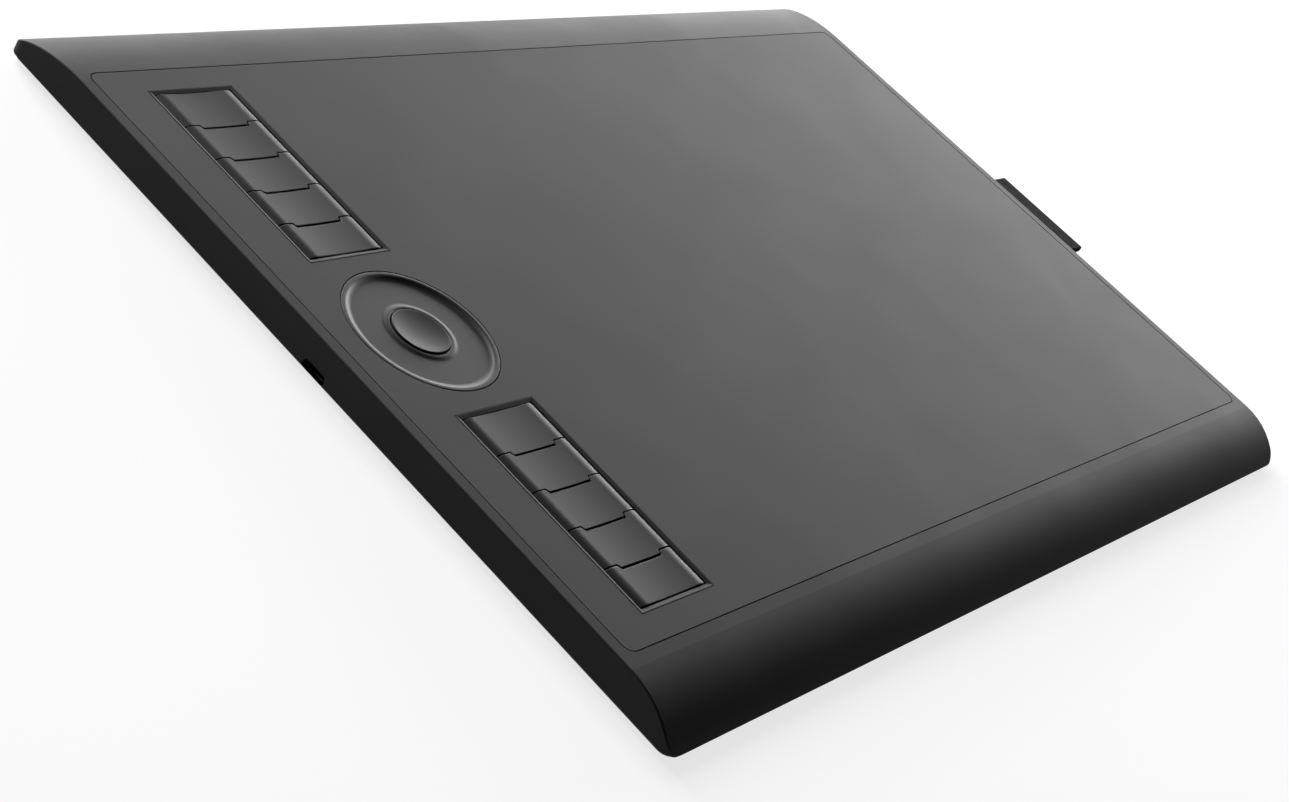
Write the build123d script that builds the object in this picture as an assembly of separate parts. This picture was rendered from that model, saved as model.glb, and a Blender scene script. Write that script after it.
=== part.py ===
from build123d import *
import math
import os

# Graphics tablet, in millimetres. The origin is on the desk under the middle of the case, +X runs along
# the long side away from the keys, +Y to the rear edge and +Z up.

# Casing
case_width = 361.1
case_depth = 241.9
foot_stand = 0.8
base_edge_height = 1.0
wall_height = 9.0
side_wall = 1.8
roof_wall = 1.5
base_wall = 1.6
front_slope_run = 18.6
rear_slope_run = 25.3
rear_slope_drop = 9.6
rear_slope_end_angle = 13.3
front_corner_radius = 4.0
rear_corner_radius = 4.0
top_edge_radius = 0.45
base_edge_inset = 0.3
base_edge_bevel = 0.8
base_lip_clearance = 0.2
base_lip_front_inset = 4.0

# Drawing sheet, let into the top
sheet_left_margin = 4.0
sheet_right_margin = 4.1
sheet_end_margin = 22.35
sheet_corner_radius = 2.8
sheet_thickness = 0.5
sheet_sink = 0.05
sheet_gap = 0.35
island_gap = 0.15

# Keys, two blocks that fill the sheet's depth to the front and rear of the ring
control_column_inset = 32.2
block_sheet_margin = 7.7
block_ring_gap = 5.5
keys_per_block = 5
key_width = 26.0
key_gap = 0.3
key_corner_radius = 0.6
key_bevel_width = 1.6
key_bevel_drop = 0.35
key_scoop = 0.45
key_wall = 1.0
key_roof = 1.4
key_travel = 0.5
stop_gap = 0.1
tongue_tip_width = 14.6
tongue_root_width = 16.6
tongue_length = 1.1
border_land = 0.2
border_width = 1.0
border_drop = 0.35
flange_width = 0.8
flange_height = 0.8
flange_inset = 1.5
leg_radius = 1.2
leg_spacing = 17.0
leg_clearance = 0.05
leg_reach = 0.6
key_post_radius = 1.4

# Key guides
guide_thickness = 0.8
guide_side_margin = 2.0
guide_end_margin = 6.4
guide_post_clearance = 0.4
guide_screw_spacing = 20.0
guide_screw_end_gap = 3.2
guide_boss_radius = 2.2

# Touch ring and the button in its middle
ring_radius = 21.1
ring_gap = 0.1
ring_rim_width = 0.7
ring_slope_width = 0.9
ring_floor_drop = 0.75
ring_flange_height = 0.95
ring_flange_width = 1.7
ring_body_depth = 2.0
ring_hole_clearance = 0.1
collar_radius = 9.8
collar_slope_width = 0.8
collar_top_width = 0.7
collar_rise = 0.35
collar_wall = 1.1
button_radius = 7.7
button_gap = 0.25
button_guide_clearance = 0.06
button_guide_height = 1.2
button_dish = 0.55
button_edge_rise = 0.3
button_flange_width = 0.8
button_flange_height = 0.6
button_roof = 1.0
sleeve_drop = 0.85
ring_board_thickness = 0.6
ring_board_margin = 0.4
ring_board_gap = 0.3
contact_radius = 0.6
contact_circle_radius = 14.0
contact_count = 4

# Circuit boards
board_thickness = 1.2
board_stand = 1.0
board_left_margin = 6.5
board_width = 53.5
board_end_margin = 24.0
board_screw_inset_x = 5.5
board_screw_inset_y = 6.0
stand_radius = 2.6
sensor_board_left_gap = 9.0
sensor_board_right_gap = 9.6
sensor_board_end_margin = 10.6
sensor_board_thickness = 1.0
shield_inset = 8.0
shield_thickness = 0.2
peg_radius = 1.5
peg_clearance = 0.1
peg_inset = 4.0
peg_drop = 0.3
rib_thickness = 1.2
rib_end_inset = 6.0
rib_spacing = 30.0

# Push switches
switch_size = 5.0
switch_height = 1.5
switch_floor = 0.2
plunger_radius = 1.0
plunger_clearance = 0.05
plunger_depth = 0.7

# Parts on the main board
control_chip_size = 7.0
control_chip_height = 0.9
small_chip_size = 3.2
small_chip_height = 0.8
crystal_length = 5.0
crystal_width = 3.2
crystal_height = 0.9
capacitor_length = 1.6
capacitor_width = 0.8
capacitor_count = 8
capacitor_pitch = 2.4
chip_column_inset = 9.0
chip_row_pitch = 12.0
chip_row_inset = 46.65

# Flat cable between the boards
ribbon_width = 20.0
ribbon_thickness = 0.3
ribbon_offset_y = 23.65
ribbon_overlap = 6.0
ribbon_bend_run = 4.0
connector_length = 23.0
connector_depth = 5.0
connector_height = 1.6
connector_inset = 3.0
connector_wall = 0.6

# Cable socket and the window in the left wall that it looks through
socket_y = 0.85
socket_width = 7.6
socket_height = 2.6
socket_length = 7.0
socket_wall = 0.25
socket_back = 1.0
socket_tongue_width = 5.4
socket_tongue_thickness = 0.6
socket_tongue_end_gap = 0.8
socket_ear_width = 1.2
socket_ear_length = 3.0
socket_ear_thickness = 0.3
socket_clearance = 0.1
window_width = 7.8
window_height = 2.8
window_sill = 0.5
window_depth = 2.0
window_corner_radius = 1.2

# Pen loop on the right wall
loop_y = -0.85
loop_width = 38.0
loop_thickness = 2.3
loop_slit = 0.3
loop_reach = 16.4
loop_tail = 12.0
loop_top_drop = 3.0
loop_slot_clearance = 0.2
clamp_width = 7.0
clamp_end_margin = 5.5
clamp_height = 1.4
clamp_wall_gap = 2.6
anvil_side_margin = 1.2
clamp_screw_margin = 2.8

# Screws and feet
case_screw_radius = 1.0
case_screw_head_radius = 2.0
case_screw_head_height = 1.4
case_screw_engagement = 3.5
case_boss_radius = 3.2
case_base_boss_height = 2.6
corner_screw_inset_x = 11.0
corner_screw_inset_y = 13.0
middle_screw_x = 60.0
middle_screw_inset_y = 14.0
small_screw_radius = 0.8
small_screw_head_radius = 1.5
small_screw_head_height = 0.7
small_screw_engagement = 1.6
screw_clearance = 0.05
head_clearance = 0.1
foot_radius = 6.0
foot_recess = 0.5
foot_clearance = 0.1

# Levels worked out from the sizes above
base_z = foot_stand
seam_z = base_z + base_edge_height
top_z = seam_z + wall_height
roof_z = top_z - roof_wall
floor_z = base_z + base_wall
board_z = floor_z + board_stand
board_top_z = board_z + board_thickness
switch_top_z = board_top_z + switch_height
plunger_top_z = switch_top_z + key_travel + stop_gap
sheet_top_z = top_z - sheet_sink
sheet_floor_z = sheet_top_z - sheet_thickness
flange_top_z = roof_z - stop_gap
flange_bottom_z = flange_top_z - flange_height
guide_top_z = flange_bottom_z - key_travel - stop_gap
guide_z = guide_top_z - guide_thickness
sensor_z = roof_z - sensor_board_thickness
shield_z = sensor_z - shield_thickness
ring_seat_z = sheet_top_z - ring_flange_height
ring_bottom_z = sheet_top_z - ring_body_depth
ring_board_z = ring_bottom_z - ring_board_thickness
sleeve_z = ring_bottom_z - sleeve_drop
base_boss_top_z = floor_z + case_base_boss_height
loop_top_z = top_z - loop_top_drop
loop_z = loop_top_z - loop_thickness
window_z = base_z + window_sill
window_top_z = window_z + window_height
socket_z = window_z + socket_clearance
foot_top_z = base_z + foot_recess

# Places worked out from the sizes above
wall_x = case_width / 2
edge_y = case_depth / 2
inner_x = wall_x - side_wall
sheet_min_x = -wall_x + sheet_left_margin
sheet_max_x = wall_x - sheet_right_margin
sheet_front_y = -edge_y + sheet_end_margin
sheet_rear_y = edge_y - sheet_end_margin
sheet_centre_y = (sheet_front_y + sheet_rear_y) / 2
control_column_x = -wall_x + control_column_inset
island_near_y = ring_radius + ring_gap + block_ring_gap
island_far_y = (sheet_rear_y - sheet_front_y) / 2 - block_sheet_margin
block_offset_y = (island_near_y + island_far_y) / 2
opening_half_x = key_width / 2 + key_gap
island_half_x = opening_half_x + border_width + border_land
island_half_y = (island_far_y - island_near_y) / 2
opening_half_y = island_half_y - border_width - border_land
key_pitch = (2 * opening_half_y - key_gap) / keys_per_block
rear_block_y = sheet_centre_y + block_offset_y
front_block_y = sheet_centre_y - block_offset_y
ring_hole_radius = ring_radius - ring_flange_width
board_min_x = -wall_x + board_left_margin
board_max_x = board_min_x + board_width
board_min_y = sheet_centre_y - edge_y + board_end_margin
board_max_y = sheet_centre_y + edge_y - board_end_margin
socket_x = -wall_x + window_depth
clamp_max_x = inner_x - clamp_wall_gap
clamp_min_x = clamp_max_x - clamp_width
clamp_x = (clamp_min_x + clamp_max_x) / 2
clamp_half_y = loop_width / 2 + clamp_end_margin
sensor_min_x = board_max_x + sensor_board_left_gap
sensor_max_x = clamp_min_x - sensor_board_right_gap
sensor_min_y = sheet_front_y + sensor_board_end_margin
sensor_max_y = sheet_rear_y - sensor_board_end_margin
chip_x = board_max_x - chip_column_inset
chip_row_y = board_min_y + chip_row_inset
ribbon_y = sheet_centre_y + ribbon_offset_y
cut_margin = 2.0


def block(x_min, x_max, y_min, y_max, z_min, z_max):
    """A box between six planes."""
    size = (x_max - x_min, y_max - y_min, z_max - z_min)
    return Pos(x_min, y_min, z_min) * Box(*size, align=(Align.MIN, Align.MIN, Align.MIN))


def post(x, y, z_min, z_max, radius):
    """An upright cylinder."""
    return Pos(x, y, z_min) * Cylinder(radius, z_max - z_min, align=(Align.CENTER, Align.CENTER, Align.MIN))


def slab(x_min, x_max, y_min, y_max, z_min, z_max, radius):
    """A flat plate with four equal round corners."""
    outline = RectangleRounded(x_max - x_min, y_max - y_min, radius)
    return Pos((x_min + x_max) / 2, (y_min + y_max) / 2, z_min) * extrude(outline, z_max - z_min)


def plan_prism(inset, z_min, z_max):
    """The casing's outline seen from above, drawn in by an inset, as an upright prism."""
    outline = Rectangle(case_width - 2 * inset, case_depth - 2 * inset)
    front = outline.vertices().group_by(Axis.Y)[0]
    outline = fillet(front, front_corner_radius - inset)
    rear = outline.vertices().group_by(Axis.Y)[-1]
    outline = fillet(rear, rear_corner_radius - inset)
    return Pos(0, 0, z_min) * extrude(outline, z_max - z_min)


def slope_body(wall, roof):
    """The casing's end profile, drawn in by a wall and a roof thickness and run along the width."""
    flat_front_y = -edge_y + front_slope_run
    flat_rear_y = edge_y - rear_slope_run
    slope_radius = (front_slope_run**2 + wall_height**2) / (2 * wall_height)
    slope_centre_z = top_z - slope_radius
    front_y = flat_front_y - math.sqrt((slope_radius - roof) ** 2 - (seam_z - slope_centre_z) ** 2)
    rear_y = edge_y - wall
    end_angle = math.radians(rear_slope_end_angle)
    ellipse_y = (rear_slope_run - wall) / math.cos(end_angle)
    ellipse_z = rear_slope_drop - roof
    ellipse_base_z = top_z - rear_slope_drop
    rear_edge_z = ellipse_base_z + ellipse_z * math.sin(end_angle)
    outline = [
        TangentArc((flat_front_y, top_z - roof), (front_y, seam_z), tangent=(-1, 0)),
        Line((front_y, seam_z), (front_y, base_z)),
        Line((front_y, base_z), (rear_y, base_z)),
        Line((rear_y, base_z), (rear_y, rear_edge_z)),
        EllipticalCenterArc(
            (flat_rear_y, ellipse_base_z), ellipse_y, ellipse_z,
            start_angle=rear_slope_end_angle, arc_size=90 - rear_slope_end_angle,
        ),
        Line((flat_rear_y, top_z - roof), (flat_front_y, top_z - roof)),
    ]
    face = make_face(Plane.YZ * Curve(outline))
    half_width = wall_x - wall
    return Pos(-half_width, 0, 0) * extrude(face, 2 * half_width, dir=(1, 0, 0))


def corners(half_x, half_y, x=0.0, y=0.0):
    """The four corner points of a rectangle."""
    return [(x + sx * half_x, y + sy * half_y) for sx in (-1, 1) for sy in (-1, 1)]


def case_screw_points():
    """Where the casing screws stand: the four corners first, then the middle four."""
    at_corners = corners(wall_x - corner_screw_inset_x, edge_y - corner_screw_inset_y)
    at_middle = corners(middle_screw_x, edge_y - middle_screw_inset_y)
    return at_corners + at_middle


def foot_points():
    """The feet stand over the corner screws and in the middle."""
    return case_screw_points()[:4] + [(0.0, 0.0)]


def board_screw_points():
    """The main board's four corners and the middle of its right edge."""
    half_x = board_width / 2 - board_screw_inset_x
    half_y = (board_max_y - board_min_y) / 2 - board_screw_inset_y
    centre_x = (board_min_x + board_max_x) / 2
    return corners(half_x, half_y, centre_x, sheet_centre_y) + [(centre_x + half_x, sheet_centre_y)]


def guide_screw_points(centre_y):
    """The screws at the two ends of a key guide."""
    end_y = opening_half_y + guide_screw_end_gap
    return corners(guide_screw_spacing / 2, end_y, control_column_x, centre_y)


def peg_points():
    """The pegs that place the antenna board, inside its corners."""
    half_x = (sensor_max_x - sensor_min_x) / 2 - peg_inset
    half_y = (sensor_max_y - sensor_min_y) / 2 - peg_inset
    centre_x = (sensor_min_x + sensor_max_x) / 2
    return corners(half_x, half_y, centre_x, sheet_centre_y)


def clamp_screw_points():
    """The clamp's screws stand just outside the strap."""
    offset = loop_width / 2 + clamp_screw_margin
    return [(clamp_x, loop_y - offset), (clamp_x, loop_y + offset)]


def key_centres(centre_y):
    """The middle of each key of a block, from the rear one to the front one."""
    first = centre_y + (keys_per_block - 1) / 2 * key_pitch
    return [first - i * key_pitch for i in range(keys_per_block)]


def screw(x, y, head_z, tip_z, radius, head_radius, head_height):
    """A screw whose head starts at head_z and reaches away from the tip."""
    up = 1 if head_z > tip_z else -1
    head_end_z = head_z + up * head_height
    shank = post(x, y, min(head_z, tip_z), max(head_z, tip_z), radius)
    head = post(x, y, min(head_z, head_end_z), max(head_z, head_end_z), head_radius)
    slot_z = min(head_end_z, head_end_z - up * head_height / 2)
    slot = post(x, y, slot_z, slot_z + head_height / 2, radius / 2)
    return shank + head - slot


def border_cut(centre_y):
    """The opening of a key block through the roof, with its sloped border."""
    opening = block(
        control_column_x - opening_half_x, control_column_x + opening_half_x,
        centre_y - opening_half_y, centre_y + opening_half_y, roof_z - cut_margin, top_z + cut_margin,
    )
    narrow = Rectangle(2 * opening_half_x, 2 * opening_half_y)
    wide = Rectangle(2 * (opening_half_x + border_width), 2 * (opening_half_y + border_width))
    low = Pos(control_column_x, centre_y, top_z - border_drop) * narrow
    high = Pos(control_column_x, centre_y, top_z) * wide
    return opening + loft([low.face(), high.face()])


def island(centre_y, gap, z_min, z_max):
    """The raised frame round a key block, grown by a gap, as a solid prism."""
    half_x = island_half_x + gap
    half_y = island_half_y + gap
    return block(
        control_column_x - half_x, control_column_x + half_x,
        centre_y - half_y, centre_y + half_y, z_min, z_max,
    )


def is_side_rim(edge):
    """True for an edge between the top and a side wall. The edges round the corners follow it."""
    centre = edge.center()
    upright = abs((edge % 0.5).Z) > 1 - 1e-6
    return centre.Z > seam_z and abs(centre.X) > wall_x - side_wall and not upright


def make_top_cover():
    """Upper casing: sloped front and rear, sheet pocket, key and ring openings, bosses below."""
    outer = slope_body(0, 0) & plan_prism(0, seam_z, top_z)
    side_rim = [edge for edge in outer.edges() if is_side_rim(edge)]
    outer = fillet(side_rim, top_edge_radius)
    cavity = slope_body(side_wall, roof_wall) & plan_prism(side_wall, base_z, roof_z)
    for x, y in case_screw_points():
        cavity -= post(x, y, base_boss_top_z, top_z, case_boss_radius)
    for centre_y in (rear_block_y, front_block_y):
        for x, y in guide_screw_points(centre_y):
            cavity -= post(x, y, guide_top_z, top_z, guide_boss_radius)
    cover = outer - cavity
    pocket = slab(
        sheet_min_x - sheet_gap, sheet_max_x + sheet_gap, sheet_front_y - sheet_gap, sheet_rear_y + sheet_gap,
        sheet_floor_z, top_z + cut_margin, sheet_corner_radius + sheet_gap,
    )
    for centre_y in (rear_block_y, front_block_y):
        pocket -= island(centre_y, 0, base_z, top_z + 2 * cut_margin)
    cover -= pocket
    for centre_y in (rear_block_y, front_block_y):
        cover -= border_cut(centre_y)
        pilot_top_z = guide_top_z + small_screw_engagement
        for x, y in guide_screw_points(centre_y):
            cover -= post(x, y, guide_z, pilot_top_z, small_screw_radius + screw_clearance)
    seat = post(control_column_x, sheet_centre_y, ring_seat_z, top_z, ring_radius + ring_gap)
    ring_hole = post(control_column_x, sheet_centre_y, base_z, top_z, ring_hole_radius + ring_hole_clearance)
    cover -= seat + ring_hole
    for x, y in case_screw_points():
        cover -= post(
            x, y, floor_z, base_boss_top_z + case_screw_engagement, case_screw_radius + screw_clearance
        )
    cover -= window_cut()
    slot_half_y = loop_width / 2 + loop_slot_clearance
    cover -= block(
        inner_x - cut_margin, wall_x + cut_margin, loop_y - slot_half_y, loop_y + slot_half_y,
        loop_z - loop_slot_clearance, loop_top_z + loop_slot_clearance,
    )
    return cover


def window_cut():
    """The window in the left wall, with round corners, that a cable's plug goes through."""
    outline = RectangleRounded(window_width, window_height, window_corner_radius)
    outline = Plane.YZ * Pos(socket_y, (window_z + window_top_z) / 2) * outline
    return Pos(-wall_x - cut_margin, 0, 0) * extrude(outline, window_depth + cut_margin, dir=(1, 0, 0))


def socket_room():
    """The room that the socket's shell takes up in the bottom cover's lip and floor."""
    half_y = socket_width / 2 + socket_clearance
    return block(
        socket_x - socket_clearance, socket_x + socket_length + socket_clearance,
        socket_y - half_y, socket_y + half_y, window_z, window_top_z,
    )


def make_work_surface():
    """The drawing sheet, with cut-outs round the key blocks and the ring."""
    sheet = slab(
        sheet_min_x, sheet_max_x, sheet_front_y, sheet_rear_y, sheet_floor_z, sheet_top_z, sheet_corner_radius
    )
    for centre_y in (rear_block_y, front_block_y):
        sheet -= island(centre_y, island_gap, base_z, top_z)
    return sheet - post(control_column_x, sheet_centre_y, base_z, top_z, ring_radius + ring_gap)


def make_bottom_cover():
    """Lower casing: bevelled tray with a lip, ribs, bosses, stand-offs, pegs and the strap's anvil."""
    rim = plan_prism(base_edge_inset, base_z, seam_z)
    rim = chamfer(rim.faces().sort_by(Axis.Z)[0].edges(), base_edge_bevel)
    lip_inset = side_wall + base_lip_clearance
    lip = plan_prism(lip_inset, base_z + base_edge_bevel, floor_z)
    front_relief = block(
        -wall_x, wall_x, -edge_y, -edge_y + base_lip_front_inset, seam_z, floor_z + cut_margin
    )
    cover = rim + (lip - front_relief)
    cover += make_ribs()
    for x, y in case_screw_points():
        cover += post(x, y, base_z, base_boss_top_z, case_boss_radius)
    for x, y in board_screw_points():
        cover += post(x, y, base_z, board_z, stand_radius)
    for x, y in peg_points():
        cover += post(x, y, base_z, roof_z - peg_drop, peg_radius)
    cover += block(
        clamp_min_x - anvil_side_margin, clamp_max_x + anvil_side_margin,
        loop_y - clamp_half_y, loop_y + clamp_half_y, base_z, loop_z,
    )
    head_top_z = foot_top_z + case_screw_head_height + head_clearance
    for x, y in case_screw_points():
        cover -= post(x, y, base_z, head_top_z, case_screw_head_radius + head_clearance)
        cover -= post(x, y, base_z, base_boss_top_z, case_screw_radius + screw_clearance)
    for x, y in foot_points():
        cover -= post(x, y, base_z, foot_top_z, foot_radius + foot_clearance)
    for x, y in board_screw_points():
        cover -= post(
            x, y, board_z - small_screw_engagement, board_z, small_screw_radius + screw_clearance
        )
    for x, y in clamp_screw_points():
        cover -= post(x, y, loop_z - small_screw_engagement, loop_z, small_screw_radius + screw_clearance)
    return cover - window_cut() - socket_room()


def make_ribs():
    """The crossed ribs that carry the shield plate and the antenna board."""
    min_x = sensor_min_x + shield_inset + rib_end_inset
    max_x = sensor_max_x - shield_inset - rib_end_inset
    min_y = sensor_min_y + shield_inset + rib_end_inset
    max_y = sensor_max_y - shield_inset - rib_end_inset
    ribs = []
    for x in rib_starts(min_x, max_x):
        ribs.append(block(x, x + rib_thickness, min_y, max_y, base_z + base_edge_bevel, shield_z))
    for y in rib_starts(min_y, max_y):
        ribs.append(block(min_x, max_x, y, y + rib_thickness, base_z + base_edge_bevel, shield_z))
    return ribs[0].fuse(*ribs[1:])


def rib_starts(low, high):
    """Where a row of evenly spaced ribs stands between two ends, each by its low side."""
    bays = round((high - low) / rib_spacing)
    pitch = (high - low - rib_thickness) / bays
    return [low + i * pitch for i in range(bays + 1)]


def key_outline(has_notch, has_tongue):
    """A key seen from above, with the tongue in front and the notch for its rear neighbour's tongue."""
    half_x = key_width / 2
    half_y = (key_pitch - key_gap) / 2
    tip_x = tongue_tip_width / 2
    root_x = tongue_root_width / 2
    outline = Rectangle(key_width, 2 * half_y)
    if not has_notch:
        outline = fillet(outline.vertices().group_by(Axis.Y)[-1], key_corner_radius)
    if not has_tongue:
        outline = fillet(outline.vertices().group_by(Axis.Y)[0], key_corner_radius)
    if has_tongue:
        tongue = Polygon(
            (-root_x, -half_y), (-tip_x, -half_y - tongue_length), (tip_x, -half_y - tongue_length),
            (root_x, -half_y), align=None,
        )
        outline += tongue
    if has_notch:
        deep_y = half_y - tongue_length
        notch = Polygon(
            (-root_x - key_gap, half_y), (-tip_x - key_gap, deep_y), (tip_x + key_gap, deep_y),
            (root_x + key_gap, half_y), align=None,
        )
        outline -= notch
    return outline


def key_section():
    """A key seen along its row: bevelled at both sides and scooped between them."""
    half_x = key_width / 2
    edge_z = sheet_top_z - key_bevel_drop
    bevel_x = half_x - key_bevel_width
    outline = [
        Line((-half_x, flange_bottom_z), (-half_x, edge_z)),
        Line((-half_x, edge_z), (-bevel_x, sheet_top_z)),
        ThreePointArc((-bevel_x, sheet_top_z), (0, sheet_top_z - key_scoop), (bevel_x, sheet_top_z)),
        Line((bevel_x, sheet_top_z), (half_x, edge_z)),
        Line((half_x, edge_z), (half_x, flange_bottom_z)),
        Line((half_x, flange_bottom_z), (-half_x, flange_bottom_z)),
    ]
    return make_face(Plane.XZ * Curve(outline))


def make_key(centre_y, has_notch, has_tongue):
    """One shortcut key: a hollow cap with side flanges, two legs and a middle post."""
    depth = key_pitch - key_gap
    half_y = depth / 2
    cap = extrude(key_outline(has_notch, has_tongue), top_z) & extrude(key_section(), key_pitch, both=True)
    rear_wall = key_wall + tongue_length + key_gap
    cap -= block(
        -key_width / 2 + key_wall, key_width / 2 - key_wall, -half_y + key_wall, half_y - rear_wall,
        flange_bottom_z, sheet_top_z - key_roof,
    )
    reach = key_width / 2 + flange_width
    inside = key_width / 2 - key_wall
    side = half_y - flange_inset
    cap += block(-reach, -inside, -side, side, flange_bottom_z, flange_top_z)
    cap += block(inside, reach, -side, side, flange_bottom_z, flange_top_z)
    stem_top_z = sheet_top_z - key_roof + key_wall / 2
    stem_y = stem_offset_y()
    for side_x in (-leg_spacing / 2, leg_spacing / 2):
        cap += post(side_x, stem_y, guide_z - leg_reach, stem_top_z, leg_radius)
    cap += post(0, stem_y, plunger_top_z, stem_top_z, key_post_radius)
    return Pos(control_column_x, centre_y, 0) * cap


def stem_offset_y():
    """How far a key's legs and post stand in front of its middle, because of the notch behind them."""
    return -(tongue_length + key_gap) / 2


def make_plunger(x, y):
    """A push switch's moving pin."""
    return post(x, y, switch_top_z - plunger_depth, plunger_top_z, plunger_radius)


def make_switch(x, y):
    """A push switch's housing, with the bore that its plunger moves in."""
    half = switch_size / 2
    housing = block(x - half, x + half, y - half, y + half, board_top_z, switch_top_z)
    return housing - post(x, y, board_top_z + switch_floor, switch_top_z, plunger_radius + plunger_clearance)


def make_guide(centre_y):
    """The plate under a key block: bores for the legs, wide holes for the posts, screw holes at its ends."""
    half_x = opening_half_x + guide_side_margin
    half_y = opening_half_y + guide_end_margin
    plate = slab(
        control_column_x - half_x, control_column_x + half_x, centre_y - half_y, centre_y + half_y,
        guide_z, guide_top_z, guide_boss_radius,
    )
    for key_y in key_centres(centre_y):
        stem_y = key_y + stem_offset_y()
        for side_x in (-leg_spacing / 2, leg_spacing / 2):
            plate -= post(control_column_x + side_x, stem_y, guide_z, guide_top_z, leg_radius + leg_clearance)
        plate -= post(control_column_x, stem_y, guide_z, guide_top_z, key_post_radius + guide_post_clearance)
    for x, y in guide_screw_points(centre_y):
        plate -= post(x, y, guide_z, guide_top_z, small_screw_radius + screw_clearance)
    return plate


def make_touch_ring():
    """The sunk touch plate: seat flange, sloped rim, flat floor, raised collar and the button's sleeve."""
    floor_level = sheet_top_z - ring_floor_drop
    rim_in = ring_radius - ring_rim_width
    floor_out = rim_in - ring_slope_width
    collar_top_out = collar_radius - collar_slope_width
    collar_level = floor_level + collar_rise
    bore = button_radius + button_gap
    guide_bore = button_radius + button_guide_clearance
    sleeve_out = bore + collar_wall
    step_z = ring_bottom_z + button_guide_height
    profile = Polyline(
        (guide_bore, sleeve_z), (sleeve_out, sleeve_z), (sleeve_out, ring_bottom_z),
        (ring_hole_radius, ring_bottom_z), (ring_hole_radius, ring_seat_z), (ring_radius, ring_seat_z),
        (ring_radius, sheet_top_z), (rim_in, sheet_top_z), (floor_out, floor_level),
        (collar_radius, floor_level), (collar_top_out, collar_level),
        (collar_top_out - collar_top_width, collar_level), (bore, collar_level - button_gap),
        (bore, step_z), (guide_bore, step_z - button_gap), close=True,
    )
    face = make_face(Plane.XZ * profile)
    return Pos(control_column_x, sheet_centre_y, 0) * revolve(face, Axis.Z)


def make_centre_button():
    """The dished button: guided skirt, flange under the sleeve and a post down to its switch."""
    edge_z = sheet_top_z - ring_floor_drop + collar_rise + button_edge_rise
    flange_top = sleeve_z - stop_gap
    flange_bottom = flange_top - button_flange_height
    inside = button_radius - key_wall
    dish_radius = (button_radius**2 + button_dish**2) / (2 * button_dish)
    button = post(0, 0, flange_bottom, edge_z, button_radius)
    button += post(0, 0, flange_bottom, flange_top, button_radius + button_flange_width)
    button -= Pos(0, 0, edge_z - button_dish + dish_radius) * Sphere(dish_radius)
    cavity_top = edge_z - button_dish - button_roof
    button -= post(0, 0, flange_bottom, cavity_top, inside)
    button += post(0, 0, plunger_top_z, cavity_top + button_roof / 2, key_post_radius)
    return Pos(control_column_x, sheet_centre_y, 0) * button


def make_ring_board():
    """The electrode board stuck under the touch ring."""
    outer = post(
        control_column_x, sheet_centre_y, ring_board_z, ring_bottom_z, ring_hole_radius - ring_board_margin
    )
    bore = button_radius + button_gap + collar_wall + ring_board_gap
    return outer - post(control_column_x, sheet_centre_y, ring_board_z, ring_bottom_z, bore)


def make_ring_contacts():
    """The contact pins between the electrode board and the main board."""
    pins = []
    for i in range(contact_count):
        angle = math.radians(360 * (i + 0.5) / contact_count)
        x = control_column_x + contact_circle_radius * math.cos(angle)
        y = sheet_centre_y + contact_circle_radius * math.sin(angle)
        pins.append(post(x, y, board_top_z, ring_board_z, contact_radius))
    return pins


def make_main_board():
    """The board under the keys, cut out at its left edge for the socket."""
    board = slab(board_min_x, board_max_x, board_min_y, board_max_y, board_z, board_top_z, stand_radius)
    half_y = socket_width / 2 + socket_clearance
    board -= block(
        board_min_x - cut_margin, socket_x + socket_length + socket_clearance,
        socket_y - half_y, socket_y + half_y, board_z, board_top_z,
    )
    for x, y in board_screw_points():
        board -= post(x, y, board_z, board_top_z, small_screw_radius + screw_clearance)
    return board


def make_sensor_board():
    """The antenna board, placed by four pegs."""
    board = block(sensor_min_x, sensor_max_x, sensor_min_y, sensor_max_y, sensor_z, roof_z)
    for x, y in peg_points():
        board -= post(x, y, sensor_z, roof_z, peg_radius + peg_clearance)
    return board


def make_shield_plate():
    """The metal sheet behind the antenna board."""
    return block(
        sensor_min_x + shield_inset, sensor_max_x - shield_inset,
        sensor_min_y + shield_inset, sensor_max_y - shield_inset, shield_z, sensor_z,
    )


def chip(x, y, length, width, height):
    """A flat packaged part soldered to the main board."""
    top = board_top_z + height
    return block(x - length / 2, x + length / 2, y - width / 2, y + width / 2, board_top_z, top)


def make_small_chips():
    """Three small packaged chips in a row beside the control chip."""
    rows = [chip_row_y + chip_row_pitch * i for i in (1, 2, -1)]
    return [chip(chip_x, y, small_chip_size, small_chip_size, small_chip_height) for y in rows]


def make_capacitors():
    """A row of small capacitors left of the control chip."""
    x = chip_x - control_chip_size
    first = chip_row_y - capacitor_pitch * (capacitor_count - 1) / 2
    return [
        chip(x, first + capacitor_pitch * i, capacitor_length, capacitor_width, capacitor_width)
        for i in range(capacitor_count)
    ]


def connector_x():
    """The low edge of the flat cable's connector, along X."""
    return board_max_x - connector_inset - connector_depth


def ribbon_plug_z():
    """The height at which the flat cable enters its connector."""
    return board_top_z + connector_height / 2


def make_ribbon_cable():
    """The flat cable, from under the antenna board's left edge down into its connector."""
    low = ribbon_plug_z()
    high = sensor_z - ribbon_thickness
    end_x = connector_x() + connector_wall
    bend_x = board_max_x + stop_gap
    spine = [
        (end_x, low), (bend_x, low), (bend_x + ribbon_bend_run, high),
        (sensor_min_x + ribbon_overlap, high),
    ]
    upper = [(x, z + ribbon_thickness) for x, z in reversed(spine)]
    face = make_face(Plane.XZ * Polyline(*spine, *upper, close=True))
    strip = extrude(face, ribbon_width / 2, both=True)
    return Pos(0, ribbon_y, 0) * strip


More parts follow.
